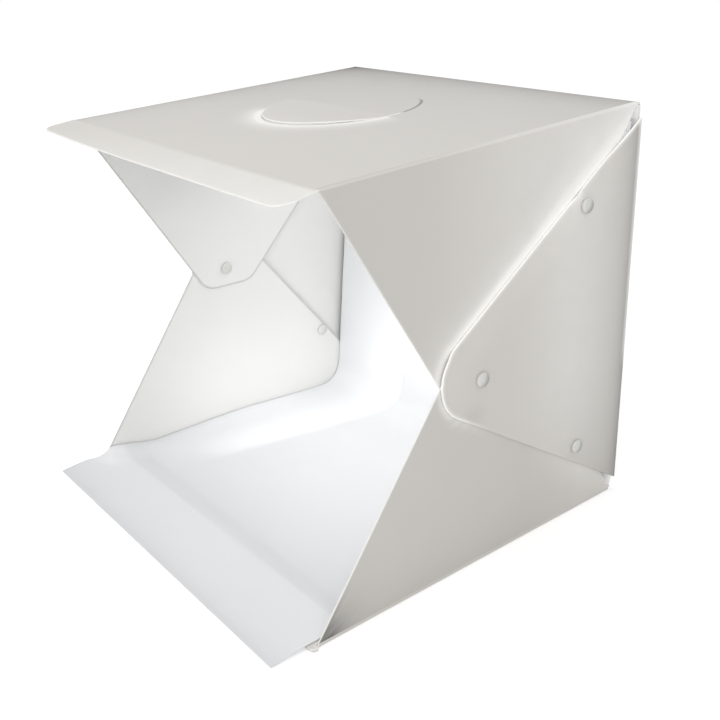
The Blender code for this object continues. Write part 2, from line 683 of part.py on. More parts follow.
def rectangle(x, y, length, width):
    return [(x - length / 2, y - width / 2), (x + length / 2, y - width / 2),
            (x + length / 2, y + width / 2), (x - length / 2, y + width / 2)]


def board_islands():
    """Lamps in a row, with a resistor between every few of them, clear of the inlet's end."""
    islands = []
    for k in range(LAMP_COUNT):
        x = (k - (LAMP_COUNT - 1) / 2) * LAMP_PITCH - INLET_LENGTH / 2
        islands.append((rectangle(x, 0, LAMP_LENGTH, LAMP_WIDTH), LAMP_HEIGHT))
        if k % RESISTOR_EVERY == RESISTOR_EVERY // 2:
            middle = x + LAMP_PITCH / 2
            islands.append((rectangle(middle, 0, RESISTOR_LENGTH, RESISTOR_WIDTH), RESISTOR_HEIGHT))
    return islands


def light_strips(finishes, fold):
    """Tape, board and inlet of both strips, hung under the top with their lamps facing down."""
    down = Matrix.Rotation(pi, 4, "X")
    right = STRIP_LENGTH / 2
    inlet_middle = INLET_TOP - INLET_HEIGHT / 2
    seat = INLET_WALL + GAP
    face = rectangle(0, 0, INLET_WIDTH, INLET_HEIGHT)
    inside = rectangle(0, 0, INLET_WIDTH - 2 * INLET_WALL, INLET_HEIGHT - 2 * INLET_WALL)
    carrier = rectangle(0, 0, INLET_WIDTH - 2 * seat, INLET_HEIGHT - 2 * seat)
    tongue = rectangle(0, 0, INLET_TONGUE_WIDTH, INLET_TONGUE_HEIGHT)
    reach = INLET_LENGTH - INLET_BACK - INLET_TONGUE_INSET
    for end, line in STRIP_LINES.items():
        block(f"{end}_light_strip_tape", (STRIP_LENGTH, STRIP_WIDTH, STRIP_TAPE), finishes["tape"],
              top_matrix(line, TAPE_TOP - STRIP_TAPE / 2), fold)
        outline = rectangle(0, 0, STRIP_LENGTH, STRIP_WIDTH)
        plate(f"{end}_light_strip_board", outline, STRIP_BOARD, finishes["board"],
              top_matrix(line, BOARD_TOP) @ down, fold, islands=board_islands())
        # Local Z runs to the right, out of the inlet's mouth
        sideways = frame_of(Vector((right - INLET_LENGTH, 0, 0)), Vector((0, 1, 0)), Vector((0, 0, 1)))
        place = top_matrix(line, inlet_middle) @ sideways
        plate(f"{end}_inlet_shell", face, INLET_LENGTH, finishes["metal"], place, fold, [inside])
        plate(f"{end}_inlet_tongue", carrier, INLET_BACK, finishes["black"], place, fold,
              islands=[(tongue, reach)])


def build():
    clear_scene()
    sheet = finish("white_sheet", SHEET_WHITE, 0.45)
    base_panel(sheet)
    base_front_lip(sheet)
    back_panel(sheet)
    backdrop(finish("backdrop_sheet", (0.86, 0.87, 0.88), 0.55))
    backdrop_pads(finish("hook_pad", (0.80, 0.80, 0.80), 0.9), finish("loop_pad", (0.85, 0.85, 0.85), 0.95))
    fold = crease("top_crease", BACK_HEAD + Vector((0, 0, GAP / 2)))
    top_panel(sheet, fold)
    port_cover(sheet, fold)
    top_front_lip(sheet, fold)
    creases = side_flaps(sheet, fold)
    press_studs(finish("snap_plastic", (0.78, 0.78, 0.76), 0.3), creases)
    light_strips({
        "tape": finish("foam_tape", (0.85, 0.85, 0.84), 0.8),
        "board": finish("board_white", (0.84, 0.85, 0.83), 0.4),
        "metal": finish("inlet_metal", (0.70, 0.70, 0.70), 0.3, 1.0),
        "black": finish("inlet_black", (0.03, 0.03, 0.03), 0.5),
    }, fold)


build()
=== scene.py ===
"""A folding tabletop light tent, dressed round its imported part.

Every sheet piece is one middle surface worked out on a grid, given its thickness and a soft rim. A flap's
grid is its flat cut outline, taken from the CAD node, carried round the crease that joins it to its
neighbour. Metres, +Z up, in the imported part's frame.
"""

import json

import bpy
import numpy as np
from mathutils import Matrix, Vector


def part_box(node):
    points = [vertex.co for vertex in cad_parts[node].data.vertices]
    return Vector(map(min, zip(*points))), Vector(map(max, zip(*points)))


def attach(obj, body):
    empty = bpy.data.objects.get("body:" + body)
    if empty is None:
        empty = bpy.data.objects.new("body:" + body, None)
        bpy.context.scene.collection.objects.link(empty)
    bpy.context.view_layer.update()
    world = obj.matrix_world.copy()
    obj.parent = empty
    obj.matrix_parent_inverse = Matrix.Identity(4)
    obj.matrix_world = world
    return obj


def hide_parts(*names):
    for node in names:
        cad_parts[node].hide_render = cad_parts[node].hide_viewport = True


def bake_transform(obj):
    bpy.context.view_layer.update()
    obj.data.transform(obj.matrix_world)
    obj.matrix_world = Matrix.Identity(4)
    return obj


# Sheet stock, the play between layers, the softened part of a cut edge, and each crease's bend at its middle
# surface, with the tab that the bend's piece keeps on its parent
SHEET = 0.0008
HALF_SHEET = SHEET / 2
GAP = 0.0003
RIM = 0.00024
CREASE_RADIUS = 0.0011
REAR_CREASE_RADIUS = 0.0012
BACK_CREASE_RADIUS = 0.0010
LIP_CREASE_RADIUS = 0.0040
TAB = 0.0012
REAR_TAB = 0.0003
BACK_TAB = 0.0008
LIP_TAB = 0.0002
TOP_LIP_BEND = np.radians(8.0)

# A distance from a crease at which nothing of it shows
NO_CREASE = 0.02

# How far the middle of each panel is bowed, and the top's ripple
TOP_CROWN = 0.0008
TOP_RIPPLE = 0.00012
BACK_CROWN = 0.0010

# How the top's lip is warped at its left end, its middle and its right end
LIP_RISE_LEFT = 0.0017
LIP_DROOP = 0.0005
LIP_DROOP_RIGHT = 0.0007

# How far the back flaps' free edges settle towards the bottom flaps, how much more where only the top flap
# lies under them, how wide that bend is, and how far round a press stud the flap stays up
EDGE_SETTLE = 0.0021
EDGE_SETTLE_MORE = 0.0012
EDGE_SETTLE_REACH = 0.0085
STUD_HOLDS = 0.0056

# The painted shadow in a nick beside the upper press stud, and the painted shade of a dent by the
# tongue's lower corner
NICK_SHADOW_Y = 0.0643
NICK_SHADOW_Z = 0.1915
NICK_SHADOW_SIZE = 0.0012
DENT_SHADE_AHEAD = 0.1235
DENT_SHADE_UP = 0.0935
DENT_SHADE_SIZE = 0.0075

# The heights over which the back flap's cut edge takes its painted highlight and painted glint and comes
# clear of the layer under it
EDGE_HIGHLIGHT_FROM = 0.082
EDGE_GLINT_FROM = 0.090
EDGE_CLEAR_FROM = 0.098
EDGE_RUN = 0.012
EDGE_HIGHLIGHT_WIDTH = 0.0012

# The port: an oval's front half on its hinge line, how its cover stands, and how far forward of the hinge
# line the left side's cut shows no pale edge
PORT_HALF_WIDTH = 0.0400
PORT_LENGTH = 0.0470
PORT_KERF = 0.0005
PORT_TAB = 0.0010
PORT_COVER_LIFT = np.radians(2.8)
PORT_COVER_CURL = -0.0009
PORT_QUIET_END = 0.034
PORT_QUIET_FADE = 0.010

# How far from its crease the back flap has bent out over the press studs, and from where on its free edges
# settle in full; and how the back panel's foot tapers
BACK_FLAP_BEND_RUN = 0.0220
BACK_FLAP_SETTLE_FROM = 0.026
BACK_FOOT_TAPER = 0.0016
BACK_FOOT_TAPER_RISE = 0.0100

# Where the painted shade in the bottom flaps' front foot corner is darkest
FOOT_CORNER_Y = -0.108
FOOT_CORNER_Z = 0.004

# The hem at the base's front
BASE_LIP_NOSE = 0.0042
BASE_LIP_RETURN = 0.0200
BASE_LIP_OVERHANG = 0.0016
BASE_LIP_CORNER = 0.0036

# Press studs, how deep their pieces sit in the sheet's play, and the way their shaded side faces
CAP_RADIUS = 0.0040
CAP_ROUND = 0.0016
CAP_HEIGHT = 0.0024
INNER_CAP_HEIGHT = 0.0019
POST_RADIUS = 0.0012
POST_HOLE = POST_RADIUS + 0.0001
CAP_POST = 0.00175
SEAT = -0.00026
LEE_WAY = (0, 0.85, -0.5)
SOCKET_RADIUS = 0.0040
SOCKET_BORE = 0.0030
SOCKET_FLOOR = 0.00035
STUD_NECK = 0.0018
STUD_HEAD = 0.0021
CLEARANCE_HOLE = 0.0044

# Light strips and their small parts
STRIP_LENGTH = 0.2000
STRIP_WIDTH = 0.0100
STRIP_BOARD = 0.0010
STRIP_TAPE = 0.0005
LAMP_COUNT = 20
LAMP_PITCH = 0.0090
LAMP_LENGTH = 0.0035
LAMP_WIDTH = 0.0028
LAMP_HEIGHT = 0.0008
RESISTOR_LENGTH = 0.0020
RESISTOR_WIDTH = 0.0012
RESISTOR_HEIGHT = 0.0005
RESISTOR_EVERY = 5
SOLDER_LENGTH = 0.0005
SOLDER_HEIGHT = 0.00024
BLOCK_EASE = 0.00008
INLET_LENGTH = 0.0055
BOARD, HOUSING, WINDOW, TINNED, RESISTOR = range(5)

# Fastener patches behind the backdrop
PAD_THICKNESS = 0.0010
PAD_HEIGHT = 0.0160
PAD_RIM = 0.0002
PAD_BLUNT = 0.30
PAD_FUZZ = 0.00005

# The backdrop: its stock, the curl of its left edge, how far its edges run out in front, its waves, and the
# places of its line in side view
BACKDROP_SHEET = 0.0005
BACKDROP_RIM = 0.00018
BACKDROP_EDGE_CURL = 0.0078
BACKDROP_CURL_REACH = 0.0090
BACKDROP_OUT_LEFT = 0.0085
BACKDROP_OUT_RIGHT = 0.0010
BACKDROP_WAVE = 0.0006
BACKDROP_FRONT_REST = 0.0006
BACKDROP_SLOPE = 0.0110
BACKDROP_SWEEP_FROM_REAR = 0.0470
BACKDROP_SWEEP_RUN = 0.0110
BACKDROP_SWEEP_RISE = 0.0100
BACKDROP_WALL_HEIGHT = 0.0180
BACKDROP_WALL_Y = 0.0850
BACKDROP_HEAD_Y = 0.10465
BACKDROP_CREST_Y = -0.0985

# Levels of the lamps and the world, and how much of the light the floor throws back
WORLD_STRENGTH = 0.72
KEY_WATTS = 3.75
FILL_WATTS = 2.9
STRIP_WATTS = 0.041
WALL_WATTS = 0.074
REAR_BOUNCE_WATTS = 0.0180
LEFT_BOUNCE_WATTS = 0.0150
REAR_BOUNCE_SPREAD = 110
STRIP_GLOW = (0.985, 0.995, 1.0)
FLOOR_BOUNCE = (0.80, 0.80, 0.80, 1.0)
FLOOR_LIFT = 0.30
FLOOR_HALF = 4.0
FLOOR_DROP = 0.00005

# Camera, as fitted to the photograph
CAMERA_PLACE = Vector((0.4257, -0.3238, 0.3146))
CAMERA_AHEAD = Vector((-0.7194, 0.5671, -0.4010))
CAMERA_ROLL = np.radians(-1.52)
CAMERA_FOCAL_PIXELS = 958.0
CAMERA_SEES = (0.01, 20.0)
PICTURE_SIDE = 720.0
SENSOR_MM = 36.0

# Colours as they should render, in display values
# The sheet is the same on both faces: the inside's paler, cooler white is painted light from the lamps inside
# the tent
OUTSIDE_WHITE = (0.808, 0.797, 0.776)
INSIDE_WHITE = (0.885, 0.883, 0.875)
# Pale marks turn the sheet towards this white: whitening of cut edges and creases, and painted highlights and
# glows
EDGE_WHITE = (0.955, 0.950, 0.935)
BACKDROP_WHITE = (0.925, 0.928, 0.935)
BACKDROP_EDGE = (0.86, 0.86, 0.87)
# The dark grey of the port's pressed line, as painted shadow in its groove
GROOVE_SHADE_GREY = (0.36, 0.35, 0.33)
SNAP_WHITE = (0.825, 0.825, 0.810)
SNAP_RIM = (0.90, 0.90, 0.885)
SNAP_LEE = (0.52, 0.52, 0.505)
HOOK_WHITE = (0.84, 0.84, 0.83)
LOOP_WHITE = (0.90, 0.90, 0.89)
WHITE_LIGHT = (1.0, 1.0, 1.0, 1.0)


def linear(colour):
    """Display values to linear ones."""
    return [c / 12.92 if c <= 0.04045 else ((c + 0.055) / 1.055) ** 2.4 for c in colour] + [1.0]


def unit(vectors):
    return vectors / np.maximum(np.linalg.norm(vectors, axis=-1, keepdims=True), 1e-12)


def ramp(amount, start, run):
    """0 up to a start, and evenly up to 1 over a run from there."""
    return np.clip((amount - start) / run, 0, 1)


def circle(count):
    """Evenly spaced points of the unit circle."""
    turn = np.linspace(0, 2 * np.pi, count, endpoint=False)
    return np.stack((np.cos(turn), np.sin(turn)), 1)


def eased(share):
    """A share from 0 to 1 with level ends."""
    return share * share * (3 - 2 * share)


def bell(distance, width):
    """1 at no distance, falling off as a bell curve of a width."""
    return np.exp(-(distance / width) ** 2)


def fade(distance, width):
    """1 at no distance, falling off steeply at first and then slowly."""
    return np.exp(-distance / width)


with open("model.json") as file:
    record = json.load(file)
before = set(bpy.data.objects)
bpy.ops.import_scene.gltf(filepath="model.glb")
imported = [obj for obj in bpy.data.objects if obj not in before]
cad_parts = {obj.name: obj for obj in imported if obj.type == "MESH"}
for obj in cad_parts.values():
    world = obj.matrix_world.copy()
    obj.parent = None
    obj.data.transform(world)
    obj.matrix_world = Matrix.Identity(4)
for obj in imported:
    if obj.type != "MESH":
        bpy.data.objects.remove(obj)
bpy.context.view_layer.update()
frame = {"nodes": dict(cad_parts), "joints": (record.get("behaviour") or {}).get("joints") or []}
NODES = frame["nodes"]
JOINTS = {joint["name"]: joint for joint in frame["joints"]}
SIDES = {"right": 1, "left": -1}
STUD_OWNERS = {"centre": "top", "upper": "top", "lower": "bottom"}


def node_points(name):
    """All vertices of a CAD node."""
    mesh = NODES[name].data
    points = np.zeros(len(mesh.vertices) * 3)
    mesh.vertices.foreach_get("co", points)
    return points.reshape(-1, 3)


def box_of(name):
    low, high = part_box(name)
    return np.array(low), np.array(high)


# Directions of the creased strip, from the joints that turn about its creases
ACROSS = np.array((1.0, 0, 0))
UP = np.array((0, 0, 1.0))
REARWARD = np.array((0, 1.0, 0))
ALONG_TOP = -unit(np.array(JOINTS["right_top_flap_fold"]["axis"]))
UP_BACK = unit(np.array(JOINTS["right_back_flap_fold"]["axis"]))
TOP_UPWARD = np.cross(ALONG_TOP, ACROSS) * -1
if TOP_UPWARD[2] < 0:
    TOP_UPWARD = -TOP_UPWARD
BACK_OUTWARD = np.cross(UP_BACK, ACROSS)
if BACK_OUTWARD[1] < 0:
    BACK_OUTWARD = -BACK_OUTWARD


def hull(points):
    """The convex outline of flat points, counter-clockwise, with points in line left out."""
    ordered = sorted({(round(float(a), 7), round(float(b), 7)) for a, b in points})

    def chain(items):
        kept = []
        for item in items:
            while len(kept) > 1:
                (ax, ay), (bx, by) = kept[-2], kept[-1]
                if (bx - ax) * (item[1] - ay) - (by - ay) * (item[0] - ax) > 2e-10:
                    break
                kept.pop()
            kept.append(item)
        return kept[:-1]

    return np.array(chain(ordered) + chain(ordered[::-1]))


def smoothed(points, steps=8, corner=np.radians(16)):
    """A closed outline with each run of small turns made a curve: a cubic from point to point whose ends
    follow the outline's mean direction where it turns by less than the corner angle."""
    ahead = np.roll(points, -1, 0) - points
    behind = np.roll(ahead, 1, 0)
    size_ahead = np.linalg.norm(ahead, axis=1)
    size_behind = np.linalg.norm(behind, axis=1)
    turn = np.arccos(np.clip((unit(ahead) * unit(behind)).sum(1), -1, 1))
    soft = (turn < corner)[:, None]
    mean = unit(unit(ahead) + unit(behind)) * np.minimum(size_ahead, size_behind)[:, None]
    leave = np.where(soft, mean, ahead)
    arrive = np.where(soft, mean, behind)
    t = (np.arange(steps) / steps)[None, :, None]
    p, q = points[:, None], np.roll(points, -1, 0)[:, None]
    m, n = leave[:, None], np.roll(arrive, -1, 0)[:, None]
    curve = (2 * t ** 3 - 3 * t ** 2 + 1) * p + (t ** 3 - 2 * t ** 2 + t) * m
    curve = curve + (3 * t ** 2 - 2 * t ** 3) * q + (t ** 3 - t ** 2) * n
    return curve.reshape(-1, 2)


def shrunk(points, margin):
    """A closed counter-clockwise outline moved inwards by a margin along its mean normals."""
    way = unit(np.roll(points, -1, 0) - np.roll(points, 1, 0))
    return points + np.stack((-way[:, 1], way[:, 0]), 1) * margin


def extents(outline, levels):
    """Lowest and highest first coordinate of a convex outline at each level of its second coordinate."""
    bottom, top = outline[:, 1].argmin(), outline[:, 1].argmax()
    ring = np.roll(outline, -bottom, 0)
    peak = (top - bottom) % len(outline)
    right = ring[:peak + 1]
    left = np.vstack((ring[peak:], ring[:1]))[::-1]
    return np.interp(levels, left[:, 1], left[:, 0]), np.interp(levels, right[:, 1], right[:, 0])


def new_piece(name, verts, faces, values=None, sharp=50):
    """A mesh object at the origin from vertices and faces, with named values on its vertices."""
    mesh = bpy.data.meshes.new(name)
    mesh.from_pydata(verts.tolist(), [], faces if isinstance(faces, list) else faces.tolist())
    for key, array in (values or {}).items():
        mesh.attributes.new(key, "FLOAT", "POINT").data.foreach_set("value", np.asarray(array, np.float32))
    mesh.update()
    mesh.validate()
    mesh.shade_smooth()
    mesh.set_sharp_from_angle(angle=np.radians(sharp))
    piece = bpy.data.objects.new(name, mesh)
    bpy.context.scene.collection.objects.link(piece)
    return piece


def away_from(points, lines):
    """Distance from each point to the nearest of the segments that join neighbouring line points."""
    best = np.full(len(points), 1.0)
    for line in [line for line in lines if len(line) > 1]:
        start, end = line[:-1], line[1:]
        span = end - start
        size = np.maximum((span ** 2).sum(1), 1e-16)
        for k in range(0, len(points), 4000):
            gap = points[k:k + 4000, None] - start[None]
            share = np.clip((gap * span[None]).sum(2) / size, 0, 1)
            reach = np.linalg.norm(gap - share[..., None] * span[None], axis=2).min(1)
            best[k:k + 4000] = np.minimum(best[k:k + 4000], reach)
    return best


def grid_normals(grid, outward, ring=False):
    """Unit normals of a grid, from its differences along both ways, turned to the outward side."""
    down = np.gradient(grid, axis=0)
    if ring:
        over = np.roll(grid, -1, 1) - np.roll(grid, 1, 1)
    else:
        over = np.gradient(grid, axis=1)
    normal = unit(np.cross(over, down))
    if (normal.reshape(-1, 3) @ outward).sum() < 0:
        normal = -normal
    return normal


def rim_section(thickness, rim, steps=3):
    """Places round a cut edge, as distance out and height, from the outer face to the inner one."""
    rim = min(rim, thickness / 2 - 1e-5)
    turn = np.linspace(0, np.pi / 2, steps + 1)
    out = rim * np.sin(turn)
    high = thickness / 2 - rim + rim * np.cos(turn)
    return np.concatenate((out, out[::-1])), np.concatenate((high, -high[::-1]))


def slab(name, grid, outward, thickness=SHEET, rim=RIM, plain=None, values=None, ring=False):
    """A sheet piece: a grid of its middle surface pushed to both faces by half its thickness along its
    normals, and closed by a rim that rounds out past the grid's border. Plain tells which borders, or which
    columns of a ring's borders, butt on a neighbour: first, last, low and high. A ring closes on itself along
    its rows."""
    rows, columns = grid.shape[:2]
    normal = grid_normals(grid, outward, ring)
    flat, way = grid.reshape(-1, 3), normal.reshape(-1, 3)
    index = np.arange(rows * columns).reshape(rows, columns)

    def butts(border, size):
        return np.array(np.broadcast_to((plain or {}).get(border, False), size))

    if ring:
        loops = [index[0], index[-1][::-1]]
        kinds = [butts("first", columns), butts("last", columns)[::-1]]
    else:
        loop = np.concatenate((index[0, :-1], index[:-1, -1], index[-1, :0:-1], index[:0:-1, 0]))
        kind = np.concatenate((butts("first", columns - 1), butts("high", rows - 1),
                               butts("last", columns - 1), butts("low", rows - 1)))
        loops, kinds = [loop], [kind]
    count = rows * columns
    verts = [flat + way * thickness / 2, flat - way * thickness / 2]
    side = [np.ones(count), np.zeros(count)]
    wrapped = np.hstack((index, index[:, :1])) if ring else index
    quads = np.stack((wrapped[:-1, :-1], wrapped[:-1, 1:], wrapped[1:, 1:], wrapped[1:, :-1]), -1)
    quads = quads.reshape(-1, 4)
    middle = quads[len(quads) // 2]
    facing = np.cross(flat[middle[1]] - flat[middle[0]], flat[middle[3]] - flat[middle[0]])
    if facing @ way[middle[0]] < 0:
        quads = quads[:, ::-1]
    faces = [quads, quads[:, ::-1] + count]
    total = 2 * count
    cuts = []
    out, high = rim_section(thickness, rim)
    for loop, kind in zip(loops, kinds):
        edge, up = flat[loop], way[loop]
        run = unit(np.roll(edge, -1, 0) - np.roll(edge, 1, 0))
        aside = unit(np.cross(run, up))
        within = flat.mean(0)
        if ring:
            within = flat[index[1] if loop is loops[0] else index[-2][::-1]]
        sign = np.sign(((edge - within) * aside).sum())
        aside = aside * sign
        reach = np.where(kind & np.roll(kind, 1), 0.0, 1.0)
        rings = [loop]
        for distance, height in zip(out[1:-1], high[1:-1]):
            verts.append(edge + aside * (distance * reach)[:, None] + up * height)
            side.append(np.full(len(loop), 0.5 + height / thickness))
            rings.append(np.arange(len(loop)) + total)
            total += len(loop)
        rings.append(loop + count)
        for a, b in zip(rings, rings[1:]):
            band = np.stack((a, np.roll(a, -1), np.roll(b, -1), b), -1)
            faces.append(band[:, ::-1] if sign > 0 else band)
        real = np.nonzero(~(kind & np.roll(kind, 1)))[0]
        cuts += [edge[run_of] for run_of in np.split(real, np.nonzero(np.diff(real) > 1)[0] + 1)]
        if not kind.any():
            cuts.append(edge[[-1, 0]])
    verts = np.vstack(verts)
    grown = {"outside": np.concatenate(side), "cut": away_from(verts, cuts)}
    for key, array in (values or {}).items():
        array = np.asarray(array, float).ravel()
        grown[key] = np.concatenate([array, array] + [np.tile(array[loop], len(out) - 2) for loop in loops])
    return new_piece(name, verts, np.vstack(faces), grown)


def turned(normal, outward, angle):
    """The direction that a sheet leaves a crease in, after turning from outward away from its normal."""
    return outward * np.cos(angle) - normal * np.sin(angle)


def crease_rows(corner, outward, normal, angle, radius, tab, levels, steps=9):
    """Middle points and crease distances from a tab on the parent, round an arc, and down the flap to each
    level. The corner is where the two middle planes meet."""
    reach = radius * np.tan(angle / 2)
    leave = turned(normal, outward, angle)
    start = corner - outward * reach
    phi = np.linspace(0, angle, steps)[:, None]
    arc = start + outward * radius * np.sin(phi) - normal * radius * (1 - np.cos(phi))
    rows = [start - outward * tab, *arc[:-1]]
    rows += [corner + leave * level for level in levels]
    past = [-tab - radius * angle / 2, *(phi[:-1, 0] - angle / 2) * radius]
    past += [level - reach + radius * angle / 2 for level in levels]
    return np.array(rows), np.array(past)


def flap_levels(first, last, count=56):
    """Distances from the crease: even at first, and ever closer towards the flap's end."""
    t = np.linspace(0, np.pi / 2, count)
    even = first + (last - first) * np.linspace(0, 1, count)
    close = first + (last - first) * np.sin(t)
    return even * 0.35 + close * 0.65


def reach_to(outline, centre, angles):
    """How far the border of a convex counter-clockwise outline lies from a centre inside it, each way."""
    way = np.stack((np.cos(angles), np.sin(angles)), 1)
    start = outline - centre
    span = np.roll(outline, -1, 0) - outline
    turn = way[:, :1] * span[:, 1] - way[:, 1:] * span[:, 0]
    far = start[:, 0] * span[:, 1] - start[:, 1] * span[:, 0]
    return np.where(turn > 1e-12, far / np.maximum(turn, 1e-12), 10.0).min(1)


def ring_rows(hole, outline, centre, rows=26, spokes=200, corner=np.radians(16)):
    """Flat places on rings from a convex hole out to a convex outline, with a spoke through every corner."""
    angles = np.linspace(-np.pi, np.pi, spokes, endpoint=False)
    for line in (hole, outline):
        ahead = unit(np.roll(line, -1, 0) - line)
        turn = np.arccos(np.clip((ahead * np.roll(ahead, 1, 0)).sum(1), -1, 1))
        sharp = line[turn > corner] - centre
        angles = np.concatenate((angles, np.arctan2(sharp[:, 1], sharp[:, 0])))
    angles = np.unique(np.round(angles, 5))
    near, far = reach_to(hole, centre, angles), reach_to(outline, centre, angles)
    share = np.linspace(0, 1, rows)[:, None] ** 1.3
    distance = near + (far - near) * share
    return centre + distance[..., None] * np.stack((np.cos(angles), np.sin(angles)), 1)


def folded_sheet(name, along, corner, outward, normal, angle, radius, levels, low, high, tab=TAB, lead=None,
                 columns=60, bow=None, plain=None, extra=None):
    """A sheet from a tab on its parent, round the crease's arc, and on to each level, where its row runs
    along the crease from low to high. Lead gives the ends of the rows of the tab and arc."""
    middles, past = crease_rows(corner, outward, normal, angle, radius, tab, levels)
    count = len(middles) - len(levels)
    first_low, first_high = lead or (low[0], high[0])
    low = np.concatenate((np.full(count, first_low), low))
    high = np.concatenate((np.full(count, first_high), high))
    places = low[:, None] + (high - low)[:, None] * np.linspace(0, 1, columns)
    grid = middles[:, None, :] + along * places[..., None]
    outside = normal * np.cos(angle) + outward * np.sin(angle)
    if bow is not None:
        grid = grid + bow(grid, past[:, None])[..., None] * outside
    given = {"crease": np.repeat(np.abs(past), columns)}
    if extra is not None:
        given.update(extra(grid))
    return slab(name, grid, outside, plain=plain or {"first": True}, values=given)


def cut_outline(node, origin, along, leave):
    """A node's flat cut outline, counter-clockwise, with room left for the rim."""
    flat = np.stack(((node_points(node) - origin) @ along, (node_points(node) - origin) @ leave), 1)
    return shrunk(smoothed(hull(flat)), RIM)


def cut_rows(node, along, corner, leave, first, count=56):
    """The levels of a flap's rows and where each begins and ends, from its node's outline."""
    outline = cut_outline(node, corner, along, leave)
    levels = flap_levels(first, outline[:, 1].max() - 5e-6, count)
    low, high = extents(outline, np.maximum(levels, outline[:, 1].min() + 0.0004))
    return levels, low, high


def dress(piece, node, body=None):
    """The piece stands for its node, whose part it hides, and rides its body."""
    if body:
        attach(piece, body)
    if node:
        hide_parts(node)
    return piece


def painted(pieces, paint):
    for piece in pieces:
        piece.data.materials.append(paint)


def fold_between(piece, corner, outward, leave, reach):
    """Bakes a folded piece's placing into its mesh. The crease's places just before and just after the arc
    are worked out, and nothing uses them.
    """
    tuple(corner - outward * reach)
    tuple(corner + leave * reach)
    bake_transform(piece)


def joint_place(name):
    return np.array(JOINTS[name]["pos_m"], float)


def corner_of(first, first_way, second, second_way):
    """Where two lines in the side view meet."""
    share = np.cross(second - first, second_way)[0] / np.cross(first_way, second_way)[0]
    return first + first_way * share


# Places of the creased strip, from the joints on its creases
BACK_CREASE_END = joint_place("right_back_flap_fold") + BACK_OUTWARD * (SHEET + GAP / 2)
BACK_HALF_WIDTH = float(BACK_CREASE_END[0])
BACK_MIDDLE = BACK_CREASE_END * (0, 1, 1) - BACK_OUTWARD * HALF_SHEET
TOP_MIDDLE = joint_place("right_top_flap_fold") * (0, 1, 1) + TOP_UPWARD * HALF_SHEET
REAR_CORNER = corner_of(BACK_MIDDLE, UP_BACK, TOP_MIDDLE, ALONG_TOP)
LIP_CORNER = joint_place("front_lip_fold") + TOP_UPWARD * HALF_SHEET - ALONG_TOP * GAP / 2
BACK_HEIGHT = float((REAR_CORNER - BACK_MIDDLE) @ UP_BACK)
TOP_DEPTH = float((LIP_CORNER - REAR_CORNER) @ ALONG_TOP)
TOP_FLAP_MIDDLE = float(box_of("right_top_flap")[1][0]) - HALF_SHEET
BOTTOM_FLAP_MIDDLE = float(box_of("right_bottom_flap")[1][0]) - HALF_SHEET
BACK_FLAP_MIDDLE = float(box_of("right_back_flap")[1][0]) - HALF_SHEET
BACK_CREASE_MIDDLE = BACK_HALF_WIDTH - HALF_SHEET
BASE_REAR = float(box_of("base_panel")[1][1])

# Where each crease's arc and tab leave its parent panel
SIDE_REACH = CREASE_RADIUS * np.tan(np.pi / 4)
REAR_TURN = float(np.arccos(ALONG_TOP @ UP_BACK))
REAR_REACH = REAR_CREASE_RADIUS * np.tan(REAR_TURN / 2)
LIP_REACH = LIP_CREASE_RADIUS * np.tan(TOP_LIP_BEND / 2)
BACK_REACH = BACK_CREASE_RADIUS * np.tan(np.pi / 4)
TOP_PANEL_HALF = TOP_FLAP_MIDDLE - SIDE_REACH - TAB
TOP_PANEL_REAR = REAR_REACH + REAR_TAB
TOP_PANEL_FRONT = TOP_DEPTH - LIP_REACH - LIP_TAB
BASE_PANEL_HALF = BOTTOM_FLAP_MIDDLE - SIDE_REACH - TAB
BACK_PANEL_HALF = BACK_CREASE_MIDDLE - BACK_REACH - BACK_TAB

# The port's cover bends up from its hinge line
PORT_HINGE = joint_place("port_cover_fold")
PORT_MIDDLE = float(PORT_HINGE[0])
PORT_HINGE_ALONG = float((PORT_HINGE - REAR_CORNER) @ ALONG_TOP)


def top_place(x, along, lift=0.0):
    """A point of the top's middle surface, from how far right of its middle and ahead of its rear it is."""
    return REAR_CORNER + ACROSS * x[..., None] + ALONG_TOP * along[..., None] \
        + TOP_UPWARD * (lift + top_crown(x, along))[..., None]


def top_crown(x, along):
    """The top's slight crown: nothing at its creases, most in the middle, and a soft ripple across it."""
    s = ramp(along, TOP_PANEL_REAR, TOP_PANEL_FRONT - TOP_PANEL_REAR)
    t = np.clip(1 - (x / TOP_PANEL_HALF) ** 2, 0, 1)
    rise = TOP_CROWN * np.sin(np.pi * s) * t
    return rise + TOP_RIPPLE * np.sin(np.pi * s) * t * np.sin(x * 61 + along * 37)


def port_line(margin, ahead=0.0):
    """The port's oval, cut off at its hinge line, as distances across and forward of the rear corner."""
    turn = np.linspace(0, np.pi, 73)
    wide, long = PORT_HALF_WIDTH - margin, PORT_LENGTH - margin
    oval = np.stack((PORT_MIDDLE + wide * np.cos(turn), PORT_HINGE_ALONG + long * np.sin(turn)), 1)
    oval[[0, -1], 1] -= ahead
    return oval


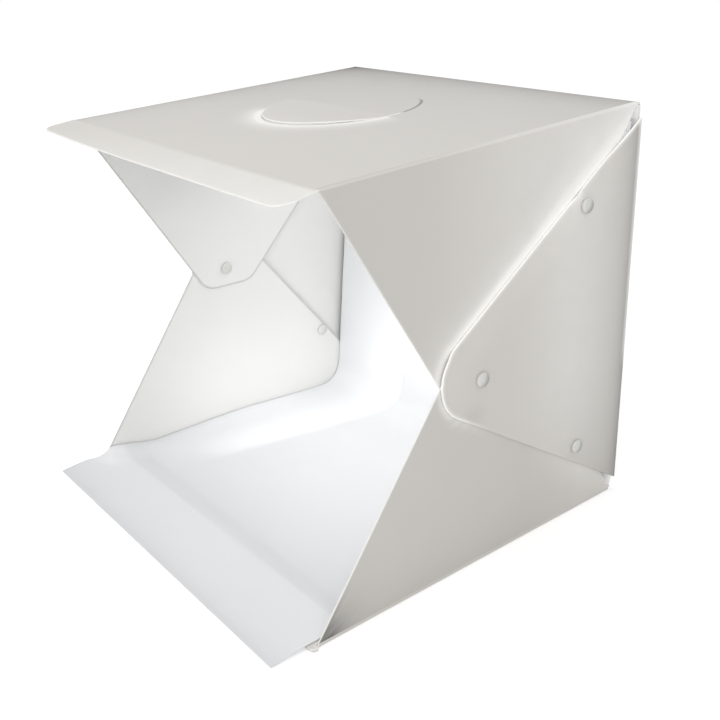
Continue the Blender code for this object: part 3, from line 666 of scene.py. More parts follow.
def top_panel():
    """Rings from the port's edge out to the tabs of the four creases. A painted glow makes the sheet pale
    round the port's front, and painted shade makes it darker to the rear and to the left."""
    outline = np.array([(-TOP_PANEL_HALF, TOP_PANEL_REAR), (TOP_PANEL_HALF, TOP_PANEL_REAR),
                        (TOP_PANEL_HALF, TOP_PANEL_FRONT), (-TOP_PANEL_HALF, TOP_PANEL_FRONT)])
    centre = np.array((PORT_MIDDLE, PORT_HINGE_ALONG + PORT_LENGTH * 0.3))
    flat = ring_rows(port_line(0.0, PORT_TAB), outline, centre, rows=30, spokes=280)
    grid = top_place(flat[..., 0], flat[..., 1])
    hinge = flat[0, :, 1] < PORT_HINGE_ALONG - PORT_TAB * 0.5
    port = np.linalg.norm(flat - flat[:1], axis=2)
    x, along = flat[..., 0], flat[..., 1]
    rear_left = (x < PORT_MIDDLE) * ramp(PORT_HINGE_ALONG + PORT_QUIET_END - along, 0, PORT_QUIET_FADE)
    before = ramp(along, PORT_HINGE_ALONG, 0.004) * (1 - 0.85 * rear_left)
    left_side = ramp(PORT_MIDDLE + 0.030 - x, 0, 0.050)
    # Painted light: a glow round the port's front edge
    pale = (0.95 * bell(port, 0.0030) + (0.62 + 0.12 * left_side) * bell(port, 0.0095)) * before
    behind, left = along - TOP_PANEL_REAR, x + TOP_PANEL_HALF
    rearward = 1 - behind / (TOP_PANEL_FRONT - TOP_PANEL_REAR)
    rightward = 0.5 + x / TOP_PANEL_HALF / 2
    # Painted shade: darker to the rear and to the left
    shade = 1.6 * fade(behind, 0.011) + (1.35 - 0.75 * rightward) * fade(behind, 0.050) \
        + (1.7 * fade(left, 0.0075) + 1.05 * fade(left, 0.060)) * (0.35 + 0.65 * rearward)
    crease = np.minimum(TOP_PANEL_HALF - x, left) + TAB
    piece = slab("top_sheet", grid, TOP_UPWARD, plain={"first": hinge, "last": True},
                 values={"crease": crease, "pale": pale, "shade": shade, "quiet": rear_left}, ring=True)
    return dress(piece, "top_panel", "top")


def port_cover():
    """The port's own cut-out: it leaves its hinge line at a small angle and curls down a little in front."""
    lengths = np.concatenate((np.linspace(-PORT_TAB, PORT_TAB, 5)[:-1],
                              flap_levels(PORT_TAB, PORT_LENGTH - PORT_KERF - RIM - 2e-5, 46)))
    wide, long = PORT_HALF_WIDTH - PORT_KERF - RIM, PORT_LENGTH - PORT_KERF - RIM
    half = wide * np.sqrt(1 - np.clip(lengths / long, 0, 1) ** 2)
    x = PORT_MIDDLE + half[:, None] * np.linspace(-1, 1, 72)
    ahead = np.maximum(lengths, 0)
    lift = ahead * np.sin(PORT_COVER_LIFT) + PORT_COVER_CURL * (ahead / long) ** 4
    grid = top_place(x, np.repeat((PORT_HINGE_ALONG + lengths)[:, None], 72, 1), lift[:, None])
    away = np.repeat(np.abs(lengths)[:, None], 72, 1)
    # Painted light: the cover a little paler towards its front edge
    piece = slab("port_cover_sheet", grid, TOP_UPWARD, plain={"first": True},
                 values={"crease": np.full(x.shape, NO_CREASE), "pale": 0.10 * ramp(away, 0, long) ** 3,
                         "quiet": (x < PORT_MIDDLE) * ramp(PORT_QUIET_END - away, 0, PORT_QUIET_FADE)})
    dress(piece, "port_cover")
    fold_between(piece, PORT_HINGE, ALONG_TOP, ALONG_TOP, PORT_TAB)
    return piece


def beside_flap(places, side):
    """Distance in side view from each place to the back flap's cut edge."""
    edge = cut_outline(f"{side}_back_flap", np.zeros(3), REARWARD, UP)
    return away_from(places, [np.vstack((edge, edge[:1]))])


def top_flap(side, sign):
    """From its tab on the top, down over the side crease, to its lobe."""
    corner = REAR_CORNER + ACROSS * sign * TOP_FLAP_MIDDLE
    outward = ACROSS * sign
    levels, low, high = cut_rows(f"{side}_top_flap", ALONG_TOP, corner, -TOP_UPWARD, SIDE_REACH, 90)

    def tone(grid):
        """A painted halo of light beside the back flap's edge and tongue, with a painted glow there for light
        leaking out; painted light a little paler to the rear, painted shade darker to the front, and a
        painted shadow in one nick."""
        place = grid[..., 1:].reshape(-1, 2)
        away = beside_flap(place, side).reshape(grid.shape[:2])
        y, z = grid[..., 1], grid[..., 2]
        share = ramp(y, -0.105, 0.21)
        patchy = 0.55 + 0.60 * bell(y - 0.058, 0.045)
        # Painted light: a halo beside the back flap's edge, and paler to the rear
        painted_halo = patchy * (1.2 * bell(away, 0.0048) + 0.36 * bell(away, 0.0140))
        rear = np.clip(share * 1.5 - 0.5, 0, 1) * ramp(z, 0, 0.20)
        # Painted shadow in a nick beside the upper press stud
        nick = np.hypot(y - NICK_SHADOW_Y, z - NICK_SHADOW_Z)
        return {"pale": np.clip(painted_halo + 0.42 * rear + 0.12 * np.clip(share * 2 - 0.6, 0, 1), 0, 1),
                "glow": 0.13 * patchy * bell(away, 0.0034) * ramp(z, 0.112, 0.010),
                "shade": 0.75 * np.clip(1 - share * 1.7, 0, 1) + 3.6 * bell(nick, NICK_SHADOW_SIZE) * (sign > 0)}

    piece = folded_sheet(f"{side}_top_flap_sheet", ALONG_TOP, corner, outward, TOP_UPWARD, np.pi / 2,
                         CREASE_RADIUS, levels, low, high, lead=(TOP_PANEL_REAR, TOP_PANEL_FRONT - 0.0001),
                         columns=80, extra=tone)
    dress(piece, f"{side}_top_flap")
    fold_between(piece, corner, outward, -TOP_UPWARD, SIDE_REACH + TAB)
    return piece


def top_lip():
    """From its tab on the top, over a slight bend, to its rounded ends. Its free edge droops a little in the
    middle and on the right, and stands up at its left end."""
    leave = turned(TOP_UPWARD, ALONG_TOP, TOP_LIP_BEND)
    levels, low, high = cut_rows("top_front_lip", ACROSS, LIP_CORNER, leave, LIP_REACH, 30)
    half, depth = float(high.max()), float(levels[-1])

    def warp(grid, past):
        """Grows with the power 1.5 of the way to the free edge."""
        x = grid[..., 0] / half
        lift = LIP_RISE_LEFT * ramp(-x, 0, 1) ** 2 - LIP_DROOP * (1 - x ** 2) \
            - LIP_DROOP_RIGHT * ramp(x, 0, 1) ** 2
        return lift * np.clip(past / depth, 0, 1) ** 1.5

    def tone(grid):
        """Painted light: paler to the right and towards the free edge."""
        x = grid[..., 0] / half
        out = np.clip((grid - LIP_CORNER) @ ALONG_TOP / depth, 0, 1)
        return {"pale": np.clip((0.20 + 0.24 * x) * np.clip(out * 8, 0, 1) + 0.10 * out ** 3, 0, 1),
                "crease": np.full(out.shape, NO_CREASE)}

    piece = folded_sheet("top_lip_sheet", ACROSS, LIP_CORNER, ALONG_TOP, TOP_UPWARD, TOP_LIP_BEND,
                         LIP_CREASE_RADIUS, levels, low, high, LIP_TAB, columns=90, bow=warp, extra=tone)
    dress(piece, "top_front_lip")
    fold_between(piece, LIP_CORNER, ALONG_TOP, leave, LIP_REACH + LIP_TAB)
    return piece


def rear_crease():
    """The bend between the back panel and the top, with a tab on each."""
    levels = np.array([REAR_REACH, REAR_REACH + REAR_TAB])
    low = np.full(2, -TOP_FLAP_MIDDLE)

    def tone(grid):
        """Painted shade, the same all over."""
        return {"crease": np.full(grid.shape[:2], NO_CREASE), "shade": np.full(grid.shape[:2], 2.2)}

    piece = folded_sheet("rear_crease_sheet", ACROSS, REAR_CORNER, -ALONG_TOP, TOP_UPWARD, REAR_TURN,
                         REAR_CREASE_RADIUS, levels, low, -low, REAR_TAB, columns=80,
                         plain={"first": True, "last": True}, extra=tone)
    dress(piece, None)
    fold_between(piece, REAR_CORNER, -ALONG_TOP, -UP_BACK, REAR_REACH + REAR_TAB)
    return piece


def back_panel():
    """A slightly bowed panel between the back flaps' creases, tapered at its foot."""
    low, top = HALF_SHEET - BACK_MIDDLE[2] + 0.0012, BACK_HEIGHT - REAR_REACH - REAR_TAB
    dense_foot, dense_head = 0.012, top - 0.006
    up = np.concatenate((np.linspace(low, dense_foot, 8)[:-1], np.linspace(dense_foot, dense_head, 44)[:-1],
                         np.linspace(dense_head, top, 6)))
    half = BACK_PANEL_HALF - BACK_FOOT_TAPER * np.clip(1 - up / BACK_FOOT_TAPER_RISE, 0, 1)
    x = half[:, None] * np.linspace(-1, 1, 60)
    rise = np.repeat(up[:, None], 60, 1)
    bow = BACK_CROWN * np.sin(np.pi * ramp(rise, 0, top)) * np.cos(x / BACK_PANEL_HALF * np.pi / 2)
    grid = BACK_MIDDLE + ACROSS * x[..., None] + UP_BACK * rise[..., None] + BACK_OUTWARD * bow[..., None]
    aside = BACK_PANEL_HALF - np.abs(x)
    # Painted light: an emission glow on the inside face low down and near the top, close to the sides
    lit = (0.55 * bell(rise, 0.014) + 0.16 * bell(top - rise, 0.020)) * fade(aside, 0.010)
    piece = slab("back_sheet", grid, BACK_OUTWARD, plain={"last": True},
                 values={"crease": np.minimum(aside, top - rise) + BACK_TAB, "lit": lit})
    return dress(piece, "back_panel", "shell")


def back_flap(side, sign):
    """From its tab on the back, forward round the crease, bent out over the studs, to its tongue."""
    corner = BACK_MIDDLE + ACROSS * sign * BACK_CREASE_MIDDLE
    outward, leave = ACROSS * sign, -BACK_OUTWARD
    levels, low, high = cut_rows(f"{side}_back_flap", UP_BACK, corner, leave, BACK_REACH, 70)
    rise = BACK_FLAP_MIDDLE - BACK_CREASE_MIDDLE
    studs = [sum(map(np.array, box_of(f"{side}_back_flap_{place}_cap"))) / 2 for place in STUD_OWNERS]
    clear = float(box_of(f"{side}_bottom_flap")[1][2]) + 0.001

    def bend_out(grid, past):
        """Out by the square of the way left to the end of the bend; the free edges settle inwards again,
        except beside the studs."""
        left = 1 - ramp(past, 0, BACK_FLAP_BEND_RUN)
        away = beside_flap(grid[..., 1:].reshape(-1, 2), side).reshape(grid.shape[:2])
        deep = EDGE_SETTLE + EDGE_SETTLE_MORE * eased(ramp(grid[..., 2], clear, 0.006))
        settle = deep * bell(away, EDGE_SETTLE_REACH) * ramp(past, 0, BACK_FLAP_SETTLE_FROM)
        for stud in studs:
            apart = np.linalg.norm(grid[..., 1:] - stud[1:], axis=2)
            settle = settle * (1 - np.exp(-(apart / STUD_HOLDS) ** 4))
        return rise * (1 - left ** 2) - settle

    def tone(grid):
        """Painted shade darker towards the crease, the foot and a dent, painted light paler in the middle, a
        painted highlight and painted glint on the upper cut edge, and a painted glow inside near the top by
        the crease.
        """
        ahead = (corner - grid) @ BACK_OUTWARD
        up = (grid - corner) @ UP_BACK
        middle = bell(ahead - 0.050, 0.032) * ramp(up, 0, 0.09)
        edge = beside_flap(grid[..., 1:].reshape(-1, 2), side).reshape(up.shape)
        # Painted highlight along the upper cut edge
        edge_highlight = 0.75 * bell(edge, EDGE_HIGHLIGHT_WIDTH) * ramp(up, EDGE_HIGHLIGHT_FROM, EDGE_RUN)
        dent = np.hypot(ahead - DENT_SHADE_AHEAD, up - DENT_SHADE_UP)
        # Painted light in pale, glint and lit; painted shade in shade
        return {"pale": np.clip(0.34 * middle + edge_highlight, 0, 1), "crease": np.full(up.shape, NO_CREASE),
                "quiet": ramp(EDGE_CLEAR_FROM - up, 0, EDGE_RUN),
                "glint": 0.30 * ramp(up, EDGE_GLINT_FROM, EDGE_RUN),
                "lit": 0.16 * ramp(up, 0.196, 0.010) * np.clip(1 - ahead / 0.030, 0, 1),
                "shade": 2.5 * fade(np.abs(ahead), 0.0060) + 0.75 * fade(np.abs(ahead), 0.020)
                + 0.65 * fade(up, 0.045) + 0.55 * bell(dent, DENT_SHADE_SIZE)}

    piece = folded_sheet(f"{side}_back_flap_sheet", UP_BACK, corner, outward, BACK_OUTWARD, np.pi / 2,
                         BACK_CREASE_RADIUS, levels, low, high, BACK_TAB, columns=84, bow=bend_out,
                         extra=tone)
    dress(piece, f"{side}_back_flap")
    fold_between(piece, corner, outward, leave, BACK_REACH + BACK_TAB)
    return piece


def bottom_flap(side, sign):
    """Rings from the hole round the centre stud out to the flap's cut edge, down to the crease's strip."""
    origin = np.array((sign * BOTTOM_FLAP_MIDDLE, 0, HALF_SHEET))
    low, high = box_of(f"{side}_top_flap_centre_stud")
    centre = ((low + high) / 2)[1:] - origin[1:]
    outline = cut_outline(f"{side}_bottom_flap", origin, REARWARD, UP)
    foot = SIDE_REACH + TAB
    outline = clipped(outline, foot)
    flat = ring_rows(centre + CLEARANCE_HOLE * circle(48), outline, centre)
    grid = origin + REARWARD * flat[..., :1] + UP * flat[..., 1:]
    border = flat[-1, :, 1] < foot + 1e-6
    away = beside_flap(grid[..., 1:].reshape(-1, 2), side).reshape(flat.shape[:2])
    y, z = grid[..., 1], grid[..., 2]
    near_front = np.hypot(y - FOOT_CORNER_Y, z - FOOT_CORNER_Z)
    # Painted light: a halo beside the back flap's edge; painted shade: darker low down and to the front, and
    # in the front foot corner
    front, rear = bell(y + 0.03, 0.022), ramp(y, 0.03, 0.05)
    painted_halo = 0.60 * bell(away, 0.0028) * front + 0.30 * bell(away, 0.012) * rear
    shade = (0.42 + 0.45 * fade(z, 0.022)) * (1 - rear) + 5.0 * fade(near_front, 0.0095)
    piece = slab(f"{side}_bottom_flap_sheet", grid, ACROSS * sign, plain={"last": border}, ring=True,
                 values={"crease": flat[..., 1], "pale": painted_halo, "shade": shade})
    dress(piece, f"{side}_bottom_flap", f"{side}_bottom_side")
    ends = outline[outline[:, 1] < foot + 1e-6][:, 0]
    front, rear = -box_of("base_panel")[1][1], float(box_of(f"{side}_bottom_flap")[1][1])
    strip = folded_sheet(f"{side}_bottom_crease_sheet", REARWARD, origin, ACROSS * sign, -UP,
                         np.pi / 2, CREASE_RADIUS, np.array([SIDE_REACH, foot]),
                         np.array([ends.min()] * 2), np.array([ends.max()] * 2),
                         lead=(front + RIM, rear - RIM), columns=80, plain={"first": True, "last": True})
    dress(strip, None)
    fold_between(strip, origin, ACROSS * sign, UP, foot)
    return [piece, strip]


def clipped(outline, floor):
    """A convex outline cut off straight below a level."""
    ahead = np.roll(outline, -1, 0)
    rise = ahead[:, 1] - outline[:, 1]
    share = (floor - outline[:, 1]) / np.where(np.abs(rise) < 1e-12, 1e-12, rise)
    crossing = (share > 0) & (share < 1)
    meets = outline[crossing] + (ahead - outline)[crossing] * share[crossing][:, None]
    return hull(np.vstack((outline[outline[:, 1] >= floor], meets)))


def base_sheet():
    """The floor panel between the bottom creases' tabs."""
    x, y = np.meshgrid(np.linspace(-BASE_PANEL_HALF, BASE_PANEL_HALF, 60),
                       np.linspace(-BASE_REAR + RIM, BASE_REAR - RIM, 60))
    grid = np.stack((x, y, np.full(x.shape, HALF_SHEET)), -1)
    piece = slab("base_sheet", grid, -UP, plain={"low": True, "high": True},
                 values={"crease": BASE_PANEL_HALF - np.abs(x) + TAB})
    return dress(piece, "base_panel", "shell")


def base_lip():
    """The hem: forward from the base, round a tight nose and back over the base, with round front corners."""
    radius = (GAP + SHEET) / 2
    nose = -BASE_REAR - BASE_LIP_NOSE
    fold = (nose + radius + HALF_SHEET, HALF_SHEET + radius)
    turn = np.linspace(-np.pi / 2, -3 * np.pi / 2, 13)
    start, end = -BASE_REAR - GAP - RIM, -BASE_REAR + BASE_LIP_RETURN - RIM
    y = np.concatenate((np.linspace(start, fold[0], 6)[:-1], fold[0] + radius * np.cos(turn),
                        np.linspace(fold[0], -BASE_REAR - GAP, 8)[1:], [-BASE_REAR - GAP / 2],
                        np.linspace(-BASE_REAR, end, 16)))
    z = np.concatenate((np.full(5, HALF_SHEET), fold[1] + radius * np.sin(turn),
                        np.full(8 + 16, HALF_SHEET + 2 * radius)))
    run = np.concatenate(([0], np.cumsum(np.hypot(np.diff(y), np.diff(z)))))
    wide = BOTTOM_FLAP_MIDDLE + HALF_SHEET + BASE_LIP_OVERHANG - RIM
    inside = BOTTOM_FLAP_MIDDLE - HALF_SHEET - 2 * GAP - RIM
    short = BASE_LIP_CORNER * (1 - np.sqrt(1 - np.clip(1 - (y - nose) / BASE_LIP_CORNER, 0, 1) ** 2))
    half = np.where(y > -BASE_REAR - GAP / 2 - 1e-6, inside, wide - short)
    x = half[:, None] * np.linspace(-1, 1, 90)
    grid = np.stack((x, np.repeat(y[:, None], 90, 1), np.repeat(z[:, None], 90, 1)), -1)
    middle = run[np.abs(y - fold[0] + radius).argmin()]
    away = np.repeat(np.abs(run - middle)[:, None], 90, 1)
    piece = slab("base_lip_sheet", grid, UP, values={"crease": away})
    return dress(piece, "base_front_lip", "shell")


def cubic(points, share):
    """Places on a cubic through two end points, pulled by two middle ones."""
    a, b, c, d = (np.array(p, float) for p in points)
    t = share[:, None]
    return a * (1 - t) ** 3 + b * 3 * (1 - t) ** 2 * t + c * 3 * (1 - t) * t ** 2 + d * t ** 3


def backdrop_line():
    """The backdrop's middle line in side view, evenly stepped: over the hem, along the floor, up the back."""
    half = BACKDROP_SHEET / 2
    lip_top = float(box_of("base_front_lip")[1][2])
    hump, floor = lip_top + GAP + half, SHEET + GAP + half
    low, high = box_of("backdrop_sheet")
    front = (low[1] + half, BACKDROP_FRONT_REST + half)
    over = (-BASE_REAR - BASE_LIP_NOSE, hump)
    past = (-BASE_REAR + BASE_LIP_RETURN + GAP, hump)
    down = (past[0] + BACKDROP_SLOPE, floor)
    rest, slope = (over[0] - front[0]) / 2, BACKDROP_SLOPE / 2
    head = np.array((BACKDROP_HEAD_Y, high[2] - 0.0003))
    wall = np.array((BACKDROP_WALL_Y, BACKDROP_WALL_HEIGHT))
    rise = unit(head - wall) * BACKDROP_SWEEP_RISE
    start = BASE_REAR - BACKDROP_SWEEP_FROM_REAR
    t = np.linspace(0, 1, 40)
    parts = [cubic([front, (front[0] + rest, front[1] + rest * 0.08), (over[0] - rest, hump), over], t),
             cubic([past, (past[0] + slope, hump), (down[0] - slope, floor), down], t),
             cubic([(start, floor), (start + BACKDROP_SWEEP_RUN, floor), wall - rise, wall], t),
             head[None]]
    line = np.vstack(parts)
    run = np.concatenate(([0], np.cumsum(np.linalg.norm(np.diff(line, axis=0), axis=1))))
    even = np.linspace(0, run[-1], 200)
    return np.stack((np.interp(even, run, line[:, 0]), np.interp(even, run, line[:, 1])), 1), run[-1]


def backdrop():
    """The line carried across, lifted by a curl along the left edge and by slow waves on the floor. In front
    its edges run out a little. Painted shade makes it greyer towards the front, most at its front edge, and
    behind the wave's crest."""
    line, length = backdrop_line()
    low, high = box_of("backdrop_sheet")
    across = np.linspace(0, 1, 110)
    across = across * 0.6 + 0.4 * (across ** 2 * (3 - 2 * across))
    y = np.repeat(line[:, :1], 110, 1)
    out = low[0] - BACKDROP_OUT_LEFT * (1 - eased(ramp(y, -0.1205, 0.0105)))
    x = out + (high[0] + BACKDROP_OUT_RIGHT - out) * across[None, :]
    z = np.repeat(line[:, 1:], 110, 1)
    run = np.gradient(line, axis=0)
    way = unit(np.stack((-run[:, 1], run[:, 0]), 1))
    on_floor = ramp(0.060 - y, 0, 0.06)
    height = BACKDROP_EDGE_CURL * (0.40 + 0.60 * ramp(-y, 0.075, 0.032)) * eased(ramp(y, -0.1190, 0.0130))
    curl = height * bell(x - out, BACKDROP_CURL_REACH)
    crest = BACKDROP_CREST_Y + 0.018 * np.clip(x + 0.07, -1, 0.2)
    ridge = BACKDROP_WAVE * bell(y - crest + 0.003, 0.009)
    wave = BACKDROP_WAVE * (0.5 - 0.5 * np.cos((x * 0.8 + y) * 34 + 0.9)) * ramp(y, -0.08, 0.05)
    lift = (curl + wave) * on_floor + ridge
    grid = np.stack((x, y + way[:, :1] * lift, z + way[:, 1:] * lift), -1)
    # Painted shade: greyer behind the wave's crest, at the front edge and towards the front
    past = y - crest
    band = np.clip(past / 0.0022 + 0.5, 0, 1) * fade(np.clip(past - 0.010, 0, 1), 0.014)
    edge = fade(y - y.min(), 0.0075 + 0.006 * ramp(-x, 0, 0.12))
    shade = 0.85 * edge + 0.45 * band + 0.80 * ramp(0.03 - y, 0, 0.10)
    piece = slab("backdrop_cloth", grid, UP, BACKDROP_SHEET, BACKDROP_RIM, values={"shade": shade})
    dress(piece, "backdrop_sheet", "shell")
    return piece


def lathe(name, profile, origin, direction, spokes=44, closed=False, lee_share=0.3):
    """A profile of distances from an axis and heights along it, carried round the axis. An open profile
    starts and ends on the axis, in one point each; a closed one is a ring. The lee says how far a point
    faces away from the light."""
    profile = np.array(profile, float)
    side = unit(np.cross(direction, (0.31, 0.17, 0.94)))
    third = np.cross(direction, side)
    way = circle(spokes)
    around = way[:, :1] * side + way[:, 1:] * third
    rows = profile if closed else profile[1:-1]
    rings = origin + direction * rows[:, 1][:, None, None] + around * rows[:, 0][:, None, None]
    verts = rings.reshape(-1, 3)
    index = np.arange(len(rows) * spokes).reshape(len(rows), spokes)
    if closed:
        index = np.vstack((index, index[:1]))
    over = np.roll(index, -1, 1)
    faces = np.stack((index[:-1], over[:-1], over[1:], index[1:]), -1).reshape(-1, 4).tolist()
    radius = np.repeat(rows[:, 0], spokes)
    height = np.repeat(rows[:, 1], spokes)
    lee = (rows[:, :1] / CAP_RADIUS * (around @ LEE_WAY)[None] + 0.5).ravel() * lee_share
    if not closed:
        verts = np.vstack((verts, origin + direction * profile[0, 1], origin + direction * profile[-1, 1]))
        first, last = len(verts) - 2, len(verts) - 1
        faces += [[first, int(b), int(a)] for a, b in zip(index[0], over[0])]
        faces += [[last, int(a), int(b)] for a, b in zip(index[-1], over[-1])]
        radius, height = np.append(radius, (0, 0)), np.append(height, (profile[0, 1], profile[-1, 1]))
        lee = np.append(lee, (0.5 * lee_share, 0.5 * lee_share))
    return new_piece(name, verts, faces, {"radius": radius, "height": height, "lee": lee}, sharp=38)


def cap_profile(height, post):
    """From the post's end out under the cap, round its thin edge and over a low crowned face."""
    turn = np.linspace(0, np.pi / 2, 9)
    post_end = [(0, -post), (POST_RADIUS - 0.0002, -post), (POST_RADIUS, -post + 0.0002), (POST_RADIUS, SEAT)]
    under = [(CAP_RADIUS - 0.0004, SEAT), (CAP_RADIUS - 0.0001, SEAT + 0.0001)]
    wall, shoulder = 0.0007, height * 0.80
    bend = [(CAP_RADIUS - CAP_ROUND * (1 - np.cos(a)), wall + (shoulder - wall) * np.sin(a)) for a in turn]
    face = [(r, shoulder + (height - shoulder) * (1 - (r / (CAP_RADIUS - CAP_ROUND)) ** 2))
            for r in (0.0023, 0.0017, 0.0010, 0.0005)]
    return post_end + under + [(CAP_RADIUS, SEAT + 0.0003)] + bend + face + [(0, height)]


def socket_profile(height):
    """A ring with a thin floor round the post, an eased mouth and a soft outer edge."""
    outer, bore, ease = SOCKET_RADIUS, SOCKET_BORE, 0.0003
    return [(POST_HOLE, SEAT), (outer - 0.0002, SEAT), (outer, SEAT + 0.0002), (outer, height - ease),
            (outer - ease * 0.3, height - ease * 0.3), (outer - ease, height), (bore + ease, height),
            (bore + ease * 0.3, height - ease * 0.3), (bore, height - ease), (bore - 0.00012, height * 0.62),
            (bore, height * 0.4), (bore, SOCKET_FLOOR), (POST_HOLE, SOCKET_FLOOR)]


def stud_profile(height):
    """A hollow stud: a foot, a neck and a rounded head."""
    neck, head, hole = STUD_NECK, STUD_HEAD, POST_HOLE
    lip = head - neck
    turn = np.linspace(-np.pi / 2, np.pi / 2, 9)
    ball = [(neck + lip * np.cos(a), height - 1.2 * lip + 1.1 * lip * np.sin(a)) for a in turn]
    foot = [(hole, SEAT), (head + 0.0003, SEAT), (head + 0.0003, 0.0), (head, 0.00016), (neck, 0.0004)]
    mouth = [(hole + 0.0002, height), (hole, height - 0.0002)]
    return foot + [(neck, height - 2.5 * lip)] + ball + mouth


def press_studs(side, sign):
    """Turned caps, sockets and studs at their nodes' places."""
    layers = {"top": TOP_FLAP_MIDDLE, "bottom": BOTTOM_FLAP_MIDDLE}
    made = []
    for place, flap in STUD_OWNERS.items():
        low, high = box_of(f"{side}_back_flap_{place}_cap")
        middle = (low + high) / 2 * (0, 1, 1)

        def put(node, profile, away, direction, body, **kind):
            origin = middle + ACROSS * sign * away
            piece = lathe(node.replace("flap", "snap"), profile, origin, direction, **kind)
            made.append(dress(piece, node, body))

        out = ACROSS * sign
        put(f"{side}_back_flap_{place}_cap", cap_profile(CAP_HEIGHT, CAP_POST),
            BACK_FLAP_MIDDLE + HALF_SHEET + GAP, out, f"{side}_back_side", lee_share=1.0)
        low, high = box_of(f"{side}_back_flap_{place}_socket")
        put(f"{side}_back_flap_{place}_socket", socket_profile(float(high[0] - low[0])),
            BACK_FLAP_MIDDLE - HALF_SHEET - GAP, -out, f"{side}_back_side", closed=True)
        low, high = box_of(f"{side}_{flap}_flap_{place}_cap")
        base = layers[flap] - HALF_SHEET - GAP
        reach = max(abs(low[0]), abs(high[0])) - base
        put(f"{side}_{flap}_flap_{place}_cap", cap_profile(INNER_CAP_HEIGHT, reach), base, -out,
            f"{side}_{flap}_side")
        low, high = box_of(f"{side}_{flap}_flap_{place}_stud")
        put(f"{side}_{flap}_flap_{place}_stud", stud_profile(float(high[0] - low[0])),
            layers[flap] + HALF_SHEET + GAP, out, f"{side}_{flap}_side", closed=True)
    return made


def soft_blocks(name, blocks, ways, ease):
    """Blocks with eased edges, as one mesh, each given as its centre, size and kind: every face's border is
    pulled in by the ease, and strips and corners close what that leaves open."""
    ahead, over, up = ways
    others = ((1, 2), (0, 2), (0, 1))

    def corner(axis, end, p, q):
        """A corner's signs from its end on an axis and those on the two other axes."""
        signs = [p, q]
        signs.insert(axis, end)
        return tuple(signs)

    spots = [(corner(axis, end, p, q), axis) for axis in range(3) for end in (-1, 1)
             for p, q in ((-1, -1), (1, -1), (1, 1), (-1, 1))]
    index = {spot: k for k, spot in enumerate(spots)}
    signs = np.array([spot[0] for spot in spots], float)
    pull = np.array([[float(k != axis) for k in range(3)] for _, axis in spots])
    shapes = [[face * 4 + k for k in range(4)] for face in range(6)]
    for axis, (one, two) in enumerate(others):
        for p in (-1, 1):
            for q in (-1, 1):
                low, high = corner(axis, -1, p, q), corner(axis, 1, p, q)
                shapes.append([index[low, one], index[high, one], index[high, two], index[low, two]])
    shapes += [[index[(a, b, c), axis] for axis in range(3)]
               for a in (-1, 1) for b in (-1, 1) for c in (-1, 1)]
    verts, faces, marks = [], [], []
    for centre, size, kind in blocks:
        half = np.array(size) / 2
        points = signs * half - signs * pull * min(ease, half.min() * 0.6)
        placed = centre + points[:, :1] * ahead + points[:, 1:2] * over + points[:, 2:] * up
        for shape in shapes:
            line = placed[shape]
            normal = np.cross(line[1] - line[0], line[2] - line[0])
            order = shape if normal @ (line.mean(0) - centre) > 0 else shape[::-1]
            faces.append([len(verts) * 24 + k for k in order])
        verts.append(placed)
        marks.append(np.full(24, kind))
    return new_piece(name, np.vstack(verts), faces, {"kind": np.concatenate(marks)}, sharp=25)


def light_strip(end):
    """Tape, board, lamps and resistors of a strip, hung under the top with the lamps facing down."""
    low, high = box_of(f"{end}_light_strip_tape")
    middle = (low + high) / 2
    along = float((middle - REAR_CORNER) @ ALONG_TOP)
    tape_lift = float((middle - REAR_CORNER) @ TOP_UPWARD)
    x, s = np.meshgrid(np.linspace(-STRIP_LENGTH / 2, STRIP_LENGTH / 2, 80),
                       np.linspace(-STRIP_WIDTH / 2, STRIP_WIDTH / 2, 10) * 0.97 + along)
    tape = slab(f"{end}_strip_foam", top_place(x, s, tape_lift), -TOP_UPWARD, STRIP_TAPE + 1.8 * GAP, 0.0001)
    dress(tape, f"{end}_light_strip_tape", "top")
    top = -HALF_SHEET - 2 * GAP - STRIP_TAPE
    blocks = []

    def add(kind, x, depth, size):
        centre = REAR_CORNER + ACROSS * x + ALONG_TOP * along + TOP_UPWARD * (top - depth)
        blocks.append((centre, size, kind))

    add(BOARD, 0, STRIP_BOARD / 2, (STRIP_LENGTH, STRIP_WIDTH, STRIP_BOARD))
    for k in range(LAMP_COUNT):
        x = (k - (LAMP_COUNT - 1) / 2) * LAMP_PITCH - INLET_LENGTH / 2
        add(HOUSING, x, STRIP_BOARD + LAMP_HEIGHT / 2, (LAMP_LENGTH * 0.86, LAMP_WIDTH, LAMP_HEIGHT))
        add(WINDOW, x, STRIP_BOARD + LAMP_HEIGHT, (LAMP_LENGTH * 0.60, LAMP_WIDTH * 0.74, SOLDER_HEIGHT / 2))
        for way in (-1, 1):
            add(TINNED, x + way * LAMP_LENGTH * 0.46, STRIP_BOARD + SOLDER_HEIGHT / 2,
                (SOLDER_LENGTH, LAMP_WIDTH * 0.8, SOLDER_HEIGHT))
        if k % RESISTOR_EVERY == RESISTOR_EVERY // 2:
            x, depth = x + LAMP_PITCH / 2, STRIP_BOARD + RESISTOR_HEIGHT / 2
            add(RESISTOR, x, depth, (RESISTOR_LENGTH * 0.62, RESISTOR_WIDTH, RESISTOR_HEIGHT))
            for way in (-1, 1):
                add(TINNED, x + way * RESISTOR_LENGTH * 0.4, depth,
                    (RESISTOR_LENGTH * 0.2, RESISTOR_WIDTH, RESISTOR_HEIGHT * 1.06))
    board = soft_blocks(f"{end}_strip_board", blocks, (ACROSS, ALONG_TOP, -TOP_UPWARD), BLOCK_EASE)
    dress(board, f"{end}_light_strip_board", "top")
    return [tape, board]


